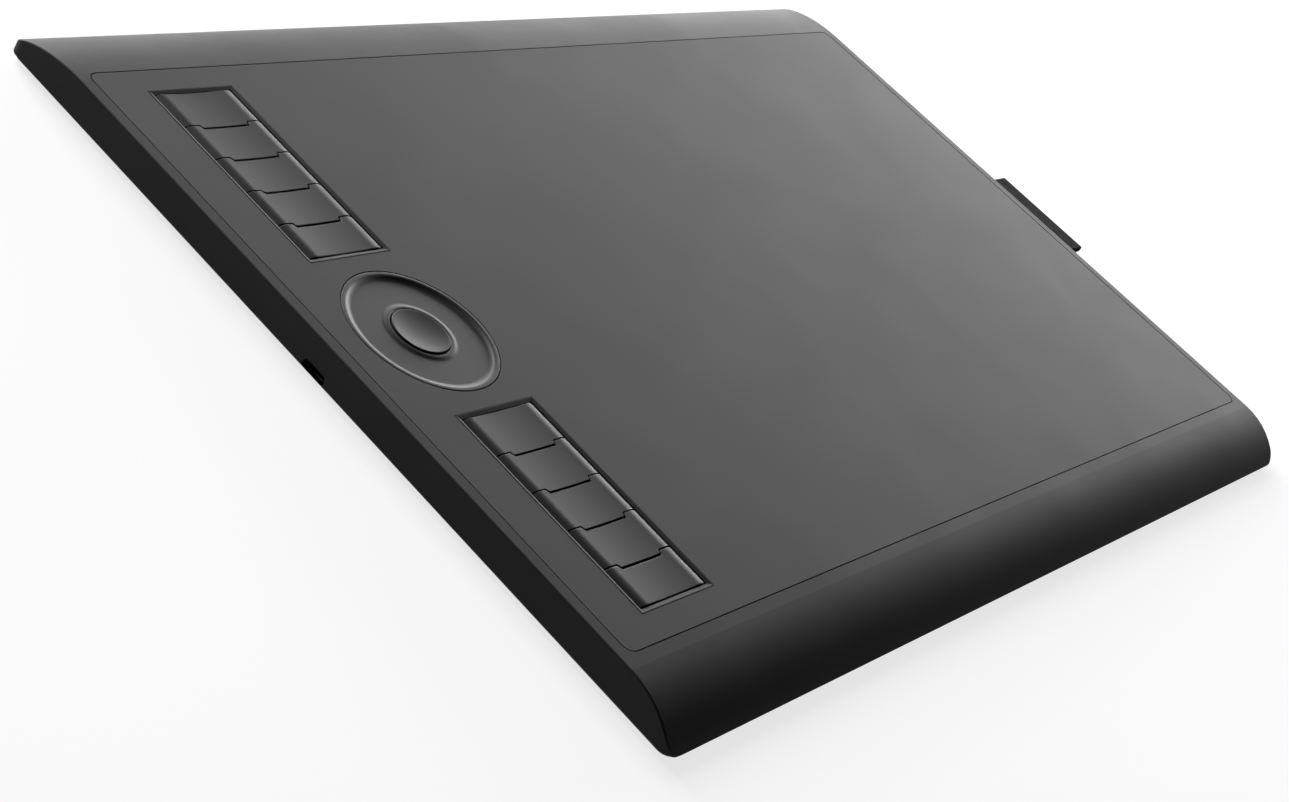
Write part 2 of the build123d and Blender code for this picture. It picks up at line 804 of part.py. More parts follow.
def make_ribbon_connector():
    """The socket that grips the flat cable's end."""
    x = connector_x()
    half = connector_length / 2
    housing = block(
        x, x + connector_depth, ribbon_y - half, ribbon_y + half, board_top_z, board_top_z + connector_height
    )
    slot_half = ribbon_width / 2 + socket_clearance
    low = ribbon_plug_z()
    return housing - block(
        x + connector_wall, x + connector_depth + cut_margin, ribbon_y - slot_half, ribbon_y + slot_half,
        low, low + ribbon_thickness,
    )


def make_usb_socket():
    """The socket's metal shell, open to the left, with two ears under the board."""
    half_y = socket_width / 2
    top = socket_z + socket_height
    shell = block(
        socket_x, socket_x + socket_length, socket_y - half_y, socket_y + half_y, socket_z, top
    )
    ear_max_x = socket_x + socket_length
    ear_half_y = half_y + socket_ear_width
    shell += block(
        ear_max_x - socket_ear_length, ear_max_x, socket_y - ear_half_y, socket_y + ear_half_y,
        board_z - socket_ear_thickness, board_z,
    )
    mouth_half_y = half_y - socket_wall
    return shell - block(
        socket_x - cut_margin, ear_max_x - socket_wall, socket_y - mouth_half_y, socket_y + mouth_half_y,
        socket_z + socket_wall, top - socket_wall,
    )


def make_usb_tongue():
    """The contact tongue inside the socket, on its back block."""
    half_y = socket_width / 2 - socket_wall
    back_max_x = socket_x + socket_length - socket_wall
    back = block(
        back_max_x - socket_back, back_max_x, socket_y - half_y, socket_y + half_y,
        socket_z + socket_wall, socket_z + socket_height - socket_wall,
    )
    middle_z = socket_z + socket_height / 2
    half_z = socket_tongue_thickness / 2
    half_tongue_y = socket_tongue_width / 2
    tongue = block(
        socket_x + socket_tongue_end_gap, back_max_x - socket_back / 2,
        socket_y - half_tongue_y, socket_y + half_tongue_y, middle_z - half_z, middle_z + half_z,
    )
    return back + tongue


def make_pen_loop():
    """The strap: folded flat on itself, round at the outer fold, its two ends inside the case."""
    tail_x = wall_x - loop_tail
    tip_x = wall_x + loop_reach
    fold_r = loop_thickness / 2
    slit_r = loop_slit / 2
    middle_z = loop_z + fold_r
    strap = block(tail_x, tip_x - fold_r, -loop_width / 2, loop_width / 2, loop_z, loop_top_z)
    fold = Rot(90, 0, 0) * Cylinder(fold_r, loop_width)
    strap += Pos(tip_x - fold_r, 0, middle_z) * fold
    slit = block(
        tail_x - cut_margin, tip_x - fold_r, -loop_width, loop_width, middle_z - slit_r, middle_z + slit_r
    )
    return Pos(0, loop_y, 0) * (strap - slit)


def make_loop_clamp():
    """The bar that presses the strap's ends onto the anvil."""
    bar = block(
        clamp_min_x, clamp_max_x, loop_y - clamp_half_y, loop_y + clamp_half_y,
        loop_top_z, loop_top_z + clamp_height,
    )
    head_z = loop_top_z + clamp_height - small_screw_head_height
    for x, y in clamp_screw_points():
        bar -= post(x, y, loop_top_z, head_z, small_screw_radius + screw_clearance)
        bar -= post(x, y, head_z, loop_top_z + clamp_height, small_screw_head_radius + head_clearance)
    return bar


def make_feet():
    """Five soft round feet, a little proud of the underside."""
    return [post(x, y, 0, foot_top_z, foot_radius) for x, y in foot_points()]


def make_case_screws():
    """The screws that close the casing from below."""
    head_z = foot_top_z + case_screw_head_height
    tip_z = base_boss_top_z + case_screw_engagement - stop_gap
    return [
        screw(x, y, head_z, tip_z, case_screw_radius, case_screw_head_radius, case_screw_head_height)
        for x, y in case_screw_points()
    ]


def make_board_screws():
    """The screws that hold the main board on its stand-offs."""
    tip_z = board_z - small_screw_engagement + stop_gap
    return [
        screw(x, y, board_top_z, tip_z, small_screw_radius, small_screw_head_radius, small_screw_head_height)
        for x, y in board_screw_points()
    ]


def make_guide_screws():
    """The screws that hold both key guides up against their bosses."""
    tip_z = guide_top_z + small_screw_engagement - stop_gap
    points = guide_screw_points(rear_block_y) + guide_screw_points(front_block_y)
    return [
        screw(x, y, guide_z, tip_z, small_screw_radius, small_screw_head_radius, small_screw_head_height)
        for x, y in points
    ]


def make_loop_screws():
    """The screws that press the clamp bar down beside the strap."""
    head_z = loop_top_z + clamp_height - small_screw_head_height
    tip_z = loop_z - small_screw_engagement + stop_gap
    return [
        screw(x, y, head_z, tip_z, small_screw_radius, small_screw_head_radius, small_screw_head_height)
        for x, y in clamp_screw_points()
    ]


def make_key_blocks():
    """All keys with their plungers, switch housings and guides, by name."""
    made = {}
    for side, centre_y in (("rear", rear_block_y), ("front", front_block_y)):
        housings = []
        for i, key_y in enumerate(key_centres(centre_y)):
            stem_y = key_y + stem_offset_y()
            made[f"{side}_key_{i + 1}"] = make_key(key_y, i > 0, i < keys_per_block - 1)
            made[f"{side}_plunger_{i + 1}"] = make_plunger(control_column_x, stem_y)
            housings.append(make_switch(control_column_x, stem_y))
        made[f"{side}_switches"] = housings
        made[f"{side}_key_guide"] = make_guide(centre_y)
    return made


def make_parts():
    """Every piece of the tablet, by name. A list is a group of identical or like solids."""
    parts = {
        "top_cover": make_top_cover(),
        "bottom_cover": make_bottom_cover(),
        "work_surface": make_work_surface(),
        "touch_ring": make_touch_ring(),
        "ring_board": make_ring_board(),
        "ring_contacts": make_ring_contacts(),
        "centre_button": make_centre_button(),
        "centre_plunger": make_plunger(control_column_x, sheet_centre_y),
        "centre_switch": make_switch(control_column_x, sheet_centre_y),
        "main_board": make_main_board(),
        "control_chip": chip(chip_x, chip_row_y, control_chip_size, control_chip_size, control_chip_height),
        "small_chips": make_small_chips(),
        "clock_crystal": chip(
            chip_x, chip_row_y - 2 * chip_row_pitch, crystal_length, crystal_width, crystal_height
        ),
        "chip_capacitors": make_capacitors(),
        "sensor_board": make_sensor_board(),
        "shield_plate": make_shield_plate(),
        "ribbon_cable": make_ribbon_cable(),
        "ribbon_connector": make_ribbon_connector(),
        "usb_socket": make_usb_socket(),
        "usb_tongue": make_usb_tongue(),
        "pen_loop": make_pen_loop(),
        "loop_clamp": make_loop_clamp(),
        "loop_screws": make_loop_screws(),
        "rubber_feet": make_feet(),
        "case_screws": make_case_screws(),
        "board_screws": make_board_screws(),
        "guide_screws": make_guide_screws(),
    }
    parts.update(make_key_blocks())
    return parts


os.makedirs("parts", exist_ok=True)
for name, shape in make_parts().items():
    piece = Compound(children=[Part(solid.wrapped) for solid in shape]) if isinstance(shape, list) else shape
    export_step(piece, f"parts/{name}.step")
    print(name, f"{piece.volume:.1f} mm3", len(piece.solids()), "solids")
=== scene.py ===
import logging
import math
from dataclasses import dataclass, field
from enum import Enum
from typing import Callable, Iterable, Sequence, Union

import bmesh
import bpy
from mathutils import Matrix, Vector


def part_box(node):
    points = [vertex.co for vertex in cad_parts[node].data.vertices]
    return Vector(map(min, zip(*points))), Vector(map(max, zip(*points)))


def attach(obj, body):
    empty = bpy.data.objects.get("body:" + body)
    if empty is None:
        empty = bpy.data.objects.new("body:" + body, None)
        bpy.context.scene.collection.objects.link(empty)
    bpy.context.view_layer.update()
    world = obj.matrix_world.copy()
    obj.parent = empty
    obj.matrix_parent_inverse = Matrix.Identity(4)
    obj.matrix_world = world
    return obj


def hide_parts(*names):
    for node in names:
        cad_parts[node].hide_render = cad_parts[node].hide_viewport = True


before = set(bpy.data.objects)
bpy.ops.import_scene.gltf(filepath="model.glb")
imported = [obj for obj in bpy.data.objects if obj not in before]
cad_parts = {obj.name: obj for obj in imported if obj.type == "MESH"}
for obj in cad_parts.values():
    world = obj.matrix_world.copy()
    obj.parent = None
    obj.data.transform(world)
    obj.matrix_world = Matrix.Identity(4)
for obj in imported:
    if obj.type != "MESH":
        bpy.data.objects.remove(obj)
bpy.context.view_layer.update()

LOG = logging.getLogger("tablet")
MM = 0.001
# Between these two values lies most of what a noise texture gives.
NOISE_SPAN = (0.3, 0.7)
Element = Union[bmesh.types.BMVert, bmesh.types.BMEdge, bmesh.types.BMFace]


@dataclass(frozen=True)
class Tint:
    """A colour in linear light."""

    red: float
    green: float
    blue: float

    def rgba(self, factor: float = 1.0) -> tuple[float, float, float, float]:
        """The colour as a shader socket takes it, made lighter or darker by a factor."""
        return (self.red * factor, self.green * factor, self.blue * factor, 1.0)


WHITE = Tint(1.0, 1.0, 1.0)


class Wiring:
    """Adds nodes to one shader tree and joins their sockets."""

    # The Mix node's sockets for colours, among those that it has for other kinds of value.
    MIX_INPUTS = (0, 6, 7)
    MIX_RESULT = 2

    def __init__(self, tree: bpy.types.NodeTree) -> None:
        """Keeps the tree that the nodes go into."""
        self.tree = tree

    def feed(self, socket: bpy.types.NodeSocket, value: object) -> None:
        """Joins a socket to another one, or sets its plain value.

        Args:
            socket: The input to feed.
            value: An output socket, or a number, vector or colour.
        """
        if isinstance(value, bpy.types.NodeSocket):
            self.tree.links.new(value, socket)
        else:
            socket.default_value = value

    def add(self, kind: str, values: dict[str, object], **options: object) -> bpy.types.Node:
        """Adds a node.

        Args:
            kind: The node's type, without its common prefix.
            values: What goes into its inputs, by their names or numbers.
            **options: The node's own settings.

        Returns:
            The new node.
        """
        node = self.tree.nodes.new("ShaderNode" + kind)
        for name, option in options.items():
            setattr(node, name, option)
        for name, value in values.items():
            self.feed(node.inputs[name], value)
        return node

    def maths(self, operation: str, first: object, second: object = 0.0) -> bpy.types.NodeSocket:
        """Works out one number from two.

        Args:
            operation: The sum to do, such as MULTIPLY.
            first: The first number or socket.
            second: The second number or socket.

        Returns:
            The socket that gives the result.
        """
        node = self.add("Math", {}, operation=operation)
        self.feed(node.inputs[0], first)
        self.feed(node.inputs[1], second)
        return node.outputs[0]

    def blend(self, factor: object, first: object, second: object) -> bpy.types.NodeSocket:
        """Mixes two colours.

        Args:
            factor: How much of the second colour shows, from 0 to 1.
            first: The first colour or socket.
            second: The second colour or socket.

        Returns:
            The socket that gives the mixed colour.
        """
        node = self.add("Mix", {}, data_type="RGBA")
        for index, item in zip(self.MIX_INPUTS, (factor, first, second)):
            self.feed(node.inputs[index], item)
        return node.outputs[self.MIX_RESULT]

    def spread(
        self, value: object, low: float, high: float, steps: tuple[float, float] = (0.0, 1.0)
    ) -> bpy.types.NodeSocket:
        """Stretches a value that runs between two steps over a new range.

        Args:
            value: The number or socket.
            low: The result at the first step.
            high: The result at the second step.
            steps: The two steps.

        Returns:
            The socket that gives the stretched value, kept within its range.
        """
        node = self.add("MapRange", {}, clamp=True)
        for index, item in enumerate((value, steps[0], steps[1], low, high)):
            self.feed(node.inputs[index], item)
        return node.outputs[0]


class Effect:
    """A shader node group that is built once and placed in many materials."""

    label = ""
    takes: dict[str, str] = {}
    gives: dict[str, str] = {}

    def lay(self, inner: Wiring, entry: bpy.types.Node, leave: bpy.types.Node) -> None:
        """Lays the group's nodes between its entry and its exit."""
        raise NotImplementedError

    def tree(self) -> bpy.types.NodeTree:
        """Finds the group, or builds it the first time.

        Returns:
            The group's node tree.
        """
        made = bpy.data.node_groups.get(self.label)
        if made is None:
            made = bpy.data.node_groups.new(self.label, "ShaderNodeTree")
            for name, kind in self.takes.items():
                made.interface.new_socket(name, in_out="INPUT", socket_type="NodeSocket" + kind)
            for name, kind in self.gives.items():
                made.interface.new_socket(name, in_out="OUTPUT", socket_type="NodeSocket" + kind)
            entry = made.nodes.new("NodeGroupInput")
            leave = made.nodes.new("NodeGroupOutput")
            self.lay(Wiring(made), entry, leave)
        return made

    def place(self, wiring: Wiring, **values: object) -> bpy.types.Node:
        """Places the group in a material.

        Args:
            wiring: The material's wiring.
            **values: What goes into the group's inputs.

        Returns:
            The group's node.
        """
        node = wiring.tree.nodes.new("ShaderNodeGroup")
        node.node_tree = self.tree()
        for name, value in values.items():
            wiring.feed(node.inputs[name], value)
        return node


class MouldedGrain(Effect):
    """The fine pitted grain that a spark-worn mould leaves on plastic."""

    label = "moulded_grain"
    takes = {"Vector": "Vector", "Cell": "Float"}
    gives = {"Height": "Float", "Tone": "Float"}

    def lay(self, inner: Wiring, entry: bpy.types.Node, leave: bpy.types.Node) -> None:
        """Lays soft bumps of one cell's size over a slow drift of tone.

        Args:
            inner: The group's wiring.
            entry: The group's inputs.
            leave: The group's outputs.
        """
        scale = inner.maths("DIVIDE", 1.0 / MM, entry.outputs["Cell"])
        place = {"Vector": entry.outputs["Vector"]}
        bumps = inner.add("TexNoise", {**place, "Scale": scale, "Detail": 2.0, "Roughness": 0.55})
        pits = inner.add(
            "TexVoronoi", {**place, "Scale": scale, "Smoothness": 0.6}, feature="SMOOTH_F1"
        )
        slow = inner.maths("MULTIPLY", scale, 0.01)
        drift = inner.add("TexNoise", {**place, "Scale": slow, "Detail": 3.0})
        height = inner.maths("ADD", bumps.outputs[0], inner.maths("MULTIPLY", pits.outputs[0], 0.5))
        inner.feed(leave.inputs["Height"], height)
        inner.feed(leave.inputs["Tone"], drift.outputs[0])


class HandlingMarks(Effect):
    """Faint polish and dulling where hands and cloths have been."""

    label = "handling_marks"
    takes = {"Vector": "Vector", "Roughness": "Float", "Amount": "Float"}
    gives = {"Roughness": "Float"}

    def lay(self, inner: Wiring, entry: bpy.types.Node, leave: bpy.types.Node) -> None:
        """Lays broad smears that lift and lower the roughness.

        Args:
            inner: The group's wiring.
            entry: The group's inputs.
            leave: The group's outputs.
        """
        smear = inner.add("TexNoise", {
            "Vector": entry.outputs["Vector"], "Scale": 26.0, "Detail": 5.0, "Roughness": 0.62,
            "Distortion": 0.6,
        })
        mask = inner.spread(smear.outputs[0], -1.0, 1.0, NOISE_SPAN)
        change = inner.maths("MULTIPLY", mask, entry.outputs["Amount"])
        rough = inner.maths("ADD", entry.outputs["Roughness"], change)
        inner.feed(leave.inputs["Roughness"], rough)


class BrushedLines(Effect):
    """Fine parallel lines, as rolling or brushing leaves on metal."""

    label = "brushed_lines"
    takes = {"Vector": "Vector", "Pitch": "Float"}
    gives = {"Height": "Float"}

    def lay(self, inner: Wiring, entry: bpy.types.Node, leave: bpy.types.Node) -> None:
        """Lays noise that is drawn out along X.

        Args:
            inner: The group's wiring.
            entry: The group's inputs.
            leave: The group's outputs.
        """
        drawn = inner.add("Mapping", {"Vector": entry.outputs["Vector"], "Scale": (0.04, 1.0, 1.0)})
        scale = inner.maths("DIVIDE", 1.0 / MM, entry.outputs["Pitch"])
        lines = inner.add("TexNoise", {"Vector": drawn.outputs[0], "Scale": scale, "Detail": 4.0})
        inner.feed(leave.inputs["Height"], lines.outputs[0])


class PlainWeave(Effect):
    """Over and under threads of a woven strap, on coordinates that are counted in threads."""

    label = "plain_weave"
    takes = {"Vector": "Vector"}
    gives = {"Height": "Float", "PaintedGapShade": "Float"}

    def lay(self, inner: Wiring, entry: bpy.types.Node, leave: bpy.types.Node) -> None:
        """Lays two crossed rows of round threads that change places cell by cell.

        Args:
            inner: The group's wiring.
            entry: The group's inputs.
            leave: The group's outputs.
        """
        parts = inner.add("SeparateXYZ", {"Vector": entry.outputs["Vector"]})
        along, across = (inner.maths("MULTIPLY", parts.outputs[i], math.pi) for i in (0, 1))
        warp = inner.maths("ABSOLUTE", inner.maths("SINE", across))
        weft = inner.maths("ABSOLUTE", inner.maths("SINE", along))
        cells = inner.add("TexChecker", {"Vector": entry.outputs["Vector"], "Scale": 1.0})
        over = inner.maths("MULTIPLY", warp, cells.outputs["Fac"])
        under = inner.maths("MULTIPLY", weft, inner.maths("SUBTRACT", 1.0, cells.outputs["Fac"]))
        height = inner.maths("ADD", over, under)
        inner.feed(leave.inputs["Height"], height)
        # The gap mask runs from 0 on the threads to 1 between them, where the strap's colour gets
        # painted shade.
        inner.feed(leave.inputs["PaintedGapShade"], inner.spread(height, 1.0, 0.0, (0.05, 0.45)))


@dataclass(frozen=True)
class Finish:
    """What every finish has: a name, a main colour and a roughness."""

    name: str
    colour: Tint
    roughness: float
    specular: float = 0.5
    metallic: float = 0.0

    def surface(self, wiring: Wiring, place: bpy.types.NodeSocket) -> dict[str, object]:
        """Gives what feeds the shader's Base Color, Roughness and Normal.

        Args:
            wiring: The material's wiring.
            place: The object's own coordinates, in metres.

        Returns:
            Values or sockets by the names of the shader's inputs.
        """
        raise NotImplementedError

    def bump(
        self, wiring: Wiring, height: bpy.types.NodeSocket, depth: float
    ) -> bpy.types.NodeSocket:
        """Turns a height into a tilt of the surface.

        Args:
            wiring: The material's wiring.
            height: The height, from 0 to about 1.5.
            depth: The real depth of the relief at a height of 1, in millimetres.

        Returns:
            The socket that gives the normal.
        """
        node = wiring.add("Bump", {"Height": height, "Distance": depth * MM, "Strength": 1.0})
        return node.outputs[0]

    def material(self) -> bpy.types.Material:
        """Finds the finish's material, or builds it the first time.

        model.glb brings a plain material under each slot's own name, so this one is named apart.

        Returns:
            The material.
        """
        label = f"{self.name}_finish"
        made = bpy.data.materials.get(label)
        if made is None:
            made = bpy.data.materials.new(label)
            made.use_nodes = True
            made.diffuse_color = self.colour.rgba()
            wiring = Wiring(made.node_tree)
            shader = made.node_tree.nodes["Principled BSDF"]
            shader.inputs["Specular IOR Level"].default_value = self.specular
            shader.inputs["Metallic"].default_value = self.metallic
            place = wiring.add("TexCoord", {}).outputs["Object"]
            for name, value in self.surface(wiring, place).items():
                wiring.feed(shader.inputs[name], value)
            LOG.info("finish %s", label)
        return made


@dataclass(frozen=True)
class MouldedPlastic(Finish):
    """A moulded plastic with a fine grain and faint marks of handling."""

    cell: float = 0.3
    depth: float = 0.004
    drift: float = 0.06
    marks: float = 0.03

    def surface(self, wiring: Wiring, place: bpy.types.NodeSocket) -> dict[str, object]:
        """Gives the grained colour, roughness and normal.

        Args:
            wiring: The material's wiring.
            place: The object's own coordinates, in metres.

        Returns:
            Values by the names of the shader's inputs.
        """
        grain = MouldedGrain().place(wiring, Vector=place, Cell=self.cell)
        worn = HandlingMarks().place(
            wiring, Vector=place, Roughness=self.roughness, Amount=self.marks
        )
        tone = wiring.spread(grain.outputs["Tone"], 0.0, 1.0, NOISE_SPAN)
        dark, light = self.colour.rgba(1 - self.drift), self.colour.rgba(1 + self.drift)
        return {
            "Base Color": wiring.blend(tone, dark, light),
            "Roughness": worn.outputs["Roughness"],
            "Normal": self.bump(wiring, grain.outputs["Height"], self.depth),
        }


@dataclass(frozen=True)
class DrawingFilm(Finish):
    """The matt film that the pen runs on: a fine tooth, almost like paper."""

    tooth: float = 0.22
    depth: float = 0.005
    marks: float = 0.02

    def surface(self, wiring: Wiring, place: bpy.types.NodeSocket) -> dict[str, object]:
        """Gives a fine tooth over a coarser, fainter one, with a painted highlight on the fine
        tooth's highest points.

        Args:
            wiring: The material's wiring.
            place: The object's own coordinates, in metres.

        Returns:
            Values by the names of the shader's inputs.
        """
        fine = MouldedGrain().place(wiring, Vector=place, Cell=self.tooth)
        coarse = MouldedGrain().place(wiring, Vector=place, Cell=self.tooth * 4)
        worn = HandlingMarks().place(
            wiring, Vector=place, Roughness=self.roughness, Amount=self.marks
        )
        height = wiring.maths(
            "ADD", fine.outputs["Height"], wiring.maths("MULTIPLY", coarse.outputs["Height"], 0.4)
        )
        tone = wiring.spread(coarse.outputs["Tone"], 0.0, 1.0, NOISE_SPAN)
        # Painted highlight: the colour is made lighter where the fine tooth stands highest.
        peak_highlight = wiring.spread(fine.outputs["Height"], 0.0, 0.5, (0.55, 1.0))
        colour = wiring.blend(tone, self.colour.rgba(0.97), self.colour.rgba(1.03))
        return {
            "Base Color": wiring.blend(peak_highlight, colour, self.colour.rgba(1.12)),
            "Roughness": worn.outputs["Roughness"],
            "Normal": self.bump(wiring, height, self.depth),
        }


@dataclass(frozen=True)
class WovenStrap(Finish):
    """Tight webbing of polyester thread, on a UV map that is counted in threads."""

    depth: float = 0.12
    threads: str = "threads"

    def surface(self, wiring: Wiring, place: bpy.types.NodeSocket) -> dict[str, object]:
        """Gives threads with painted shade in the gaps between them, and uneven dye.

        Args:
            wiring: The material's wiring.
            place: The object's own coordinates, in metres.

        Returns:
            Values by the names of the shader's inputs.
        """
        threads = wiring.add("UVMap", {}, uv_map=self.threads).outputs[0]
        weave = PlainWeave().place(wiring, Vector=threads)
        fibre = wiring.add("TexNoise", {"Vector": place, "Scale": 9000.0, "Detail": 2.0})
        dye = wiring.add("TexNoise", {"Vector": place, "Scale": 420.0, "Detail": 3.0})
        tone = wiring.spread(dye.outputs[0], 0.0, 1.0, NOISE_SPAN)
        colour = wiring.blend(tone, self.colour.rgba(0.75), self.colour.rgba(1.3))
        height = wiring.maths(
            "ADD", weave.outputs["Height"], wiring.maths("MULTIPLY", fibre.outputs[0], 0.25)
        )
        smooth, rough = self.roughness - 0.08, self.roughness + 0.08
        return {
            # Painted shade: the colour falls to 0.3 of itself in the gaps between the threads.
            "Base Color": wiring.blend(weave.outputs["PaintedGapShade"], colour, self.colour.rgba(0.3)),
            "Roughness": wiring.spread(fibre.outputs[0], smooth, rough),
            "Normal": self.bump(wiring, height, self.depth),
        }


@dataclass(frozen=True)
class SoftRubber(Finish):
    """Dull rubber with a powdery bloom."""

    cell: float = 0.5
    depth: float = 0.01

    def surface(self, wiring: Wiring, place: bpy.types.NodeSocket) -> dict[str, object]:
        """Gives a dusty colour over a coarse grain.

        Args:
            wiring: The material's wiring.
            place: The object's own coordinates, in metres.

        Returns:
            Values by the names of the shader's inputs.
        """
        grain = MouldedGrain().place(wiring, Vector=place, Cell=self.cell)
        bloom = wiring.add("TexNoise", {"Vector": place, "Scale": 300.0, "Detail": 5.0})
        dust = wiring.spread(bloom.outputs[0], 0.0, 0.35, (0.5, 0.75))
        return {
            "Base Color": wiring.blend(dust, self.colour.rgba(), self.colour.rgba(2.2)),
            "Roughness": wiring.spread(bloom.outputs[0], self.roughness, self.roughness + 0.1),
            "Normal": self.bump(wiring, grain.outputs["Height"], self.depth),
        }


@dataclass(frozen=True)
class WorkedMetal(Finish):
    """Sheet or turned metal with fine lines and a thin tarnish."""

    pitch: float = 0.15
    depth: float = 0.002
    tarnish: Tint = field(default_factory=lambda: Tint(0.3, 0.28, 0.25))

    def surface(self, wiring: Wiring, place: bpy.types.NodeSocket) -> dict[str, object]:
        """Gives brushed lines and patches of tarnish.

        Args:
            wiring: The material's wiring.
            place: The object's own coordinates, in metres.

        Returns:
            Values by the names of the shader's inputs.
        """
        lines = BrushedLines().place(wiring, Vector=place, Pitch=self.pitch)
        patches = wiring.add("TexNoise", {"Vector": place, "Scale": 180.0, "Detail": 5.0})
        stain = wiring.spread(patches.outputs[0], 0.0, 0.4, (0.52, 0.75))
        smooth, rough = self.roughness - 0.06, self.roughness + 0.12
        return {
            "Base Color": wiring.blend(stain, self.colour.rgba(), self.tarnish.rgba()),
            "Roughness": wiring.spread(lines.outputs["Height"], smooth, rough),
            "Normal": self.bump(wiring, lines.outputs["Height"], self.depth),
        }


@dataclass(frozen=True)
class PrintedBoard(Finish):
    """Board laminate under solder mask, with the copper runs showing through."""

    run_pitch: float = 1.6
    run_width: float = 0.12
    depth: float = 0.03
    run_tint: Tint = field(default_factory=lambda: Tint(0.03, 0.16, 0.06))

    def surface(self, wiring: Wiring, place: bpy.types.NodeSocket) -> dict[str, object]:
        """Gives crossed copper runs under the mask.

        Args:
            wiring: The material's wiring.
            place: The object's own coordinates, in metres.

        Returns:
            Values by the names of the shader's inputs.
        """
        pitch = self.run_pitch * MM
        layout = {
            "Vector": place, "Scale": 1.0, "Mortar Size": self.run_width * MM,
            "Mortar Smooth": 0.2, "Brick Width": 7 * pitch, "Row Height": pitch,
        }
        runs = wiring.add("TexBrick", layout, offset=0.37)
        glass = wiring.add("TexNoise", {"Vector": place, "Scale": 2500.0, "Detail": 2.0})
        tone = wiring.spread(glass.outputs[0], 0.0, 0.3)
        colour = wiring.blend(tone, self.colour.rgba(), self.colour.rgba(1.4))
        mask = wiring.maths("MULTIPLY", runs.outputs["Fac"], 0.8)
        smooth, rough = self.roughness - 0.05, self.roughness + 0.08
        return {
            "Base Color": wiring.blend(mask, colour, self.run_tint.rgba()),
            "Roughness": wiring.spread(glass.outputs[0], smooth, rough),
            "Normal": self.bump(wiring, runs.outputs["Fac"], self.depth),
        }


@dataclass(frozen=True)
class ConductorFilm(Finish):
    """Thin film with a row of flat conductors inside."""

    pitch: float = 1.0
    cell: float = 0.4
    depth: float = 0.02
    conductor: Tint = field(default_factory=lambda: Tint(0.6, 0.4, 0.22))

    def surface(self, wiring: Wiring, place: bpy.types.NodeSocket) -> dict[str, object]:
        """Gives stripes across the film's width.

        Args:
            wiring: The material's wiring.
            place: The object's own coordinates, in metres.

        Returns:
            Values by the names of the shader's inputs.
        """
        parts = wiring.add("SeparateXYZ", {"Vector": place})
        phase = wiring.maths("MULTIPLY", parts.outputs[1], 2 * math.pi / (self.pitch * MM))
        wave = wiring.maths("SINE", phase)
        stripe = wiring.spread(wave, 0.0, 1.0, (-0.15, 0.15))
        grain = MouldedGrain().place(wiring, Vector=place, Cell=self.cell)
        smooth, rough = self.roughness - 0.05, self.roughness + 0.05
        return {
            "Base Color": wiring.blend(stripe, self.colour.rgba(), self.conductor.rgba()),
            "Roughness": wiring.spread(grain.outputs["Height"], smooth, rough),
            "Normal": self.bump(wiring, stripe, self.depth),
        }


class Finishes(Enum):
    """The finishes of the tablet's pieces, by the record's material slots."""

    CASING = MouldedPlastic("casing", Tint(0.0285, 0.0286, 0.0289), 0.64, specular=0.21, cell=0.3)
    CASING_BASE = MouldedPlastic(
        "casing_base", Tint(0.022, 0.022, 0.0225), 0.64, specular=0.25, cell=0.5, depth=0.012
    )
    DRAWING_SHEET = DrawingFilm(
        "drawing_sheet", Tint(0.0515, 0.0478, 0.0487), 0.67, specular=0.25
    )
    KEY_PLASTIC = MouldedPlastic(
        "key_plastic", Tint(0.0235, 0.0235, 0.0238), 0.43, specular=0.22, cell=0.25, depth=0.002
    )
    RING_PLASTIC = MouldedPlastic(
        "ring_plastic", Tint(0.0305, 0.0305, 0.0308), 0.48, specular=0.25, cell=0.25, depth=0.002
    )
    GUIDE_PLASTIC = MouldedPlastic("guide_plastic", Tint(0.32, 0.31, 0.29), 0.5, cell=0.4)
    WEBBING = WovenStrap("webbing", Tint(0.0135, 0.0135, 0.0138), 0.9, specular=0.04)
    FOOT_RUBBER = SoftRubber("foot_rubber", Tint(0.012, 0.012, 0.013), 0.86, specular=0.25)
    SCREW_STEEL = WorkedMetal("screw_steel", Tint(0.32, 0.32, 0.34), 0.34, metallic=1.0)
    BOARD_LAMINATE = PrintedBoard("board_laminate", Tint(0.012, 0.075, 0.03), 0.4)
    CHIP_PACKAGE = MouldedPlastic("chip_package", Tint(0.012, 0.012, 0.013), 0.55, cell=0.15)
    CRYSTAL_CAN = WorkedMetal("crystal_can", Tint(0.68, 0.66, 0.62), 0.3, metallic=1.0)
    CAPACITOR_BODY = MouldedPlastic("capacitor_body", Tint(0.36, 0.24, 0.14), 0.4, cell=0.15)
    SWITCH_HOUSING = MouldedPlastic("switch_housing", Tint(0.02, 0.02, 0.02), 0.45, cell=0.2)
    SWITCH_PLUNGER = MouldedPlastic("switch_plunger", Tint(0.36, 0.05, 0.035), 0.42, cell=0.2)
    SHIELD_METAL = WorkedMetal("shield_metal", Tint(0.6, 0.61, 0.62), 0.36, metallic=1.0, pitch=0.4)
    RIBBON_FILM = ConductorFilm("ribbon_film", Tint(0.45, 0.20, 0.05), 0.3)
    CONNECTOR_PLASTIC = MouldedPlastic("connector_plastic", Tint(0.02, 0.02, 0.022), 0.5, cell=0.2)
    SOCKET_SHELL = WorkedMetal("socket_shell", Tint(0.55, 0.55, 0.56), 0.3, metallic=1.0)
    CONTACT_METAL = WorkedMetal("contact_metal", Tint(0.85, 0.62, 0.25), 0.28, metallic=1.0)
    CLAMP_PLASTIC = MouldedPlastic("clamp_plastic", Tint(0.03, 0.03, 0.032), 0.5, cell=0.4)


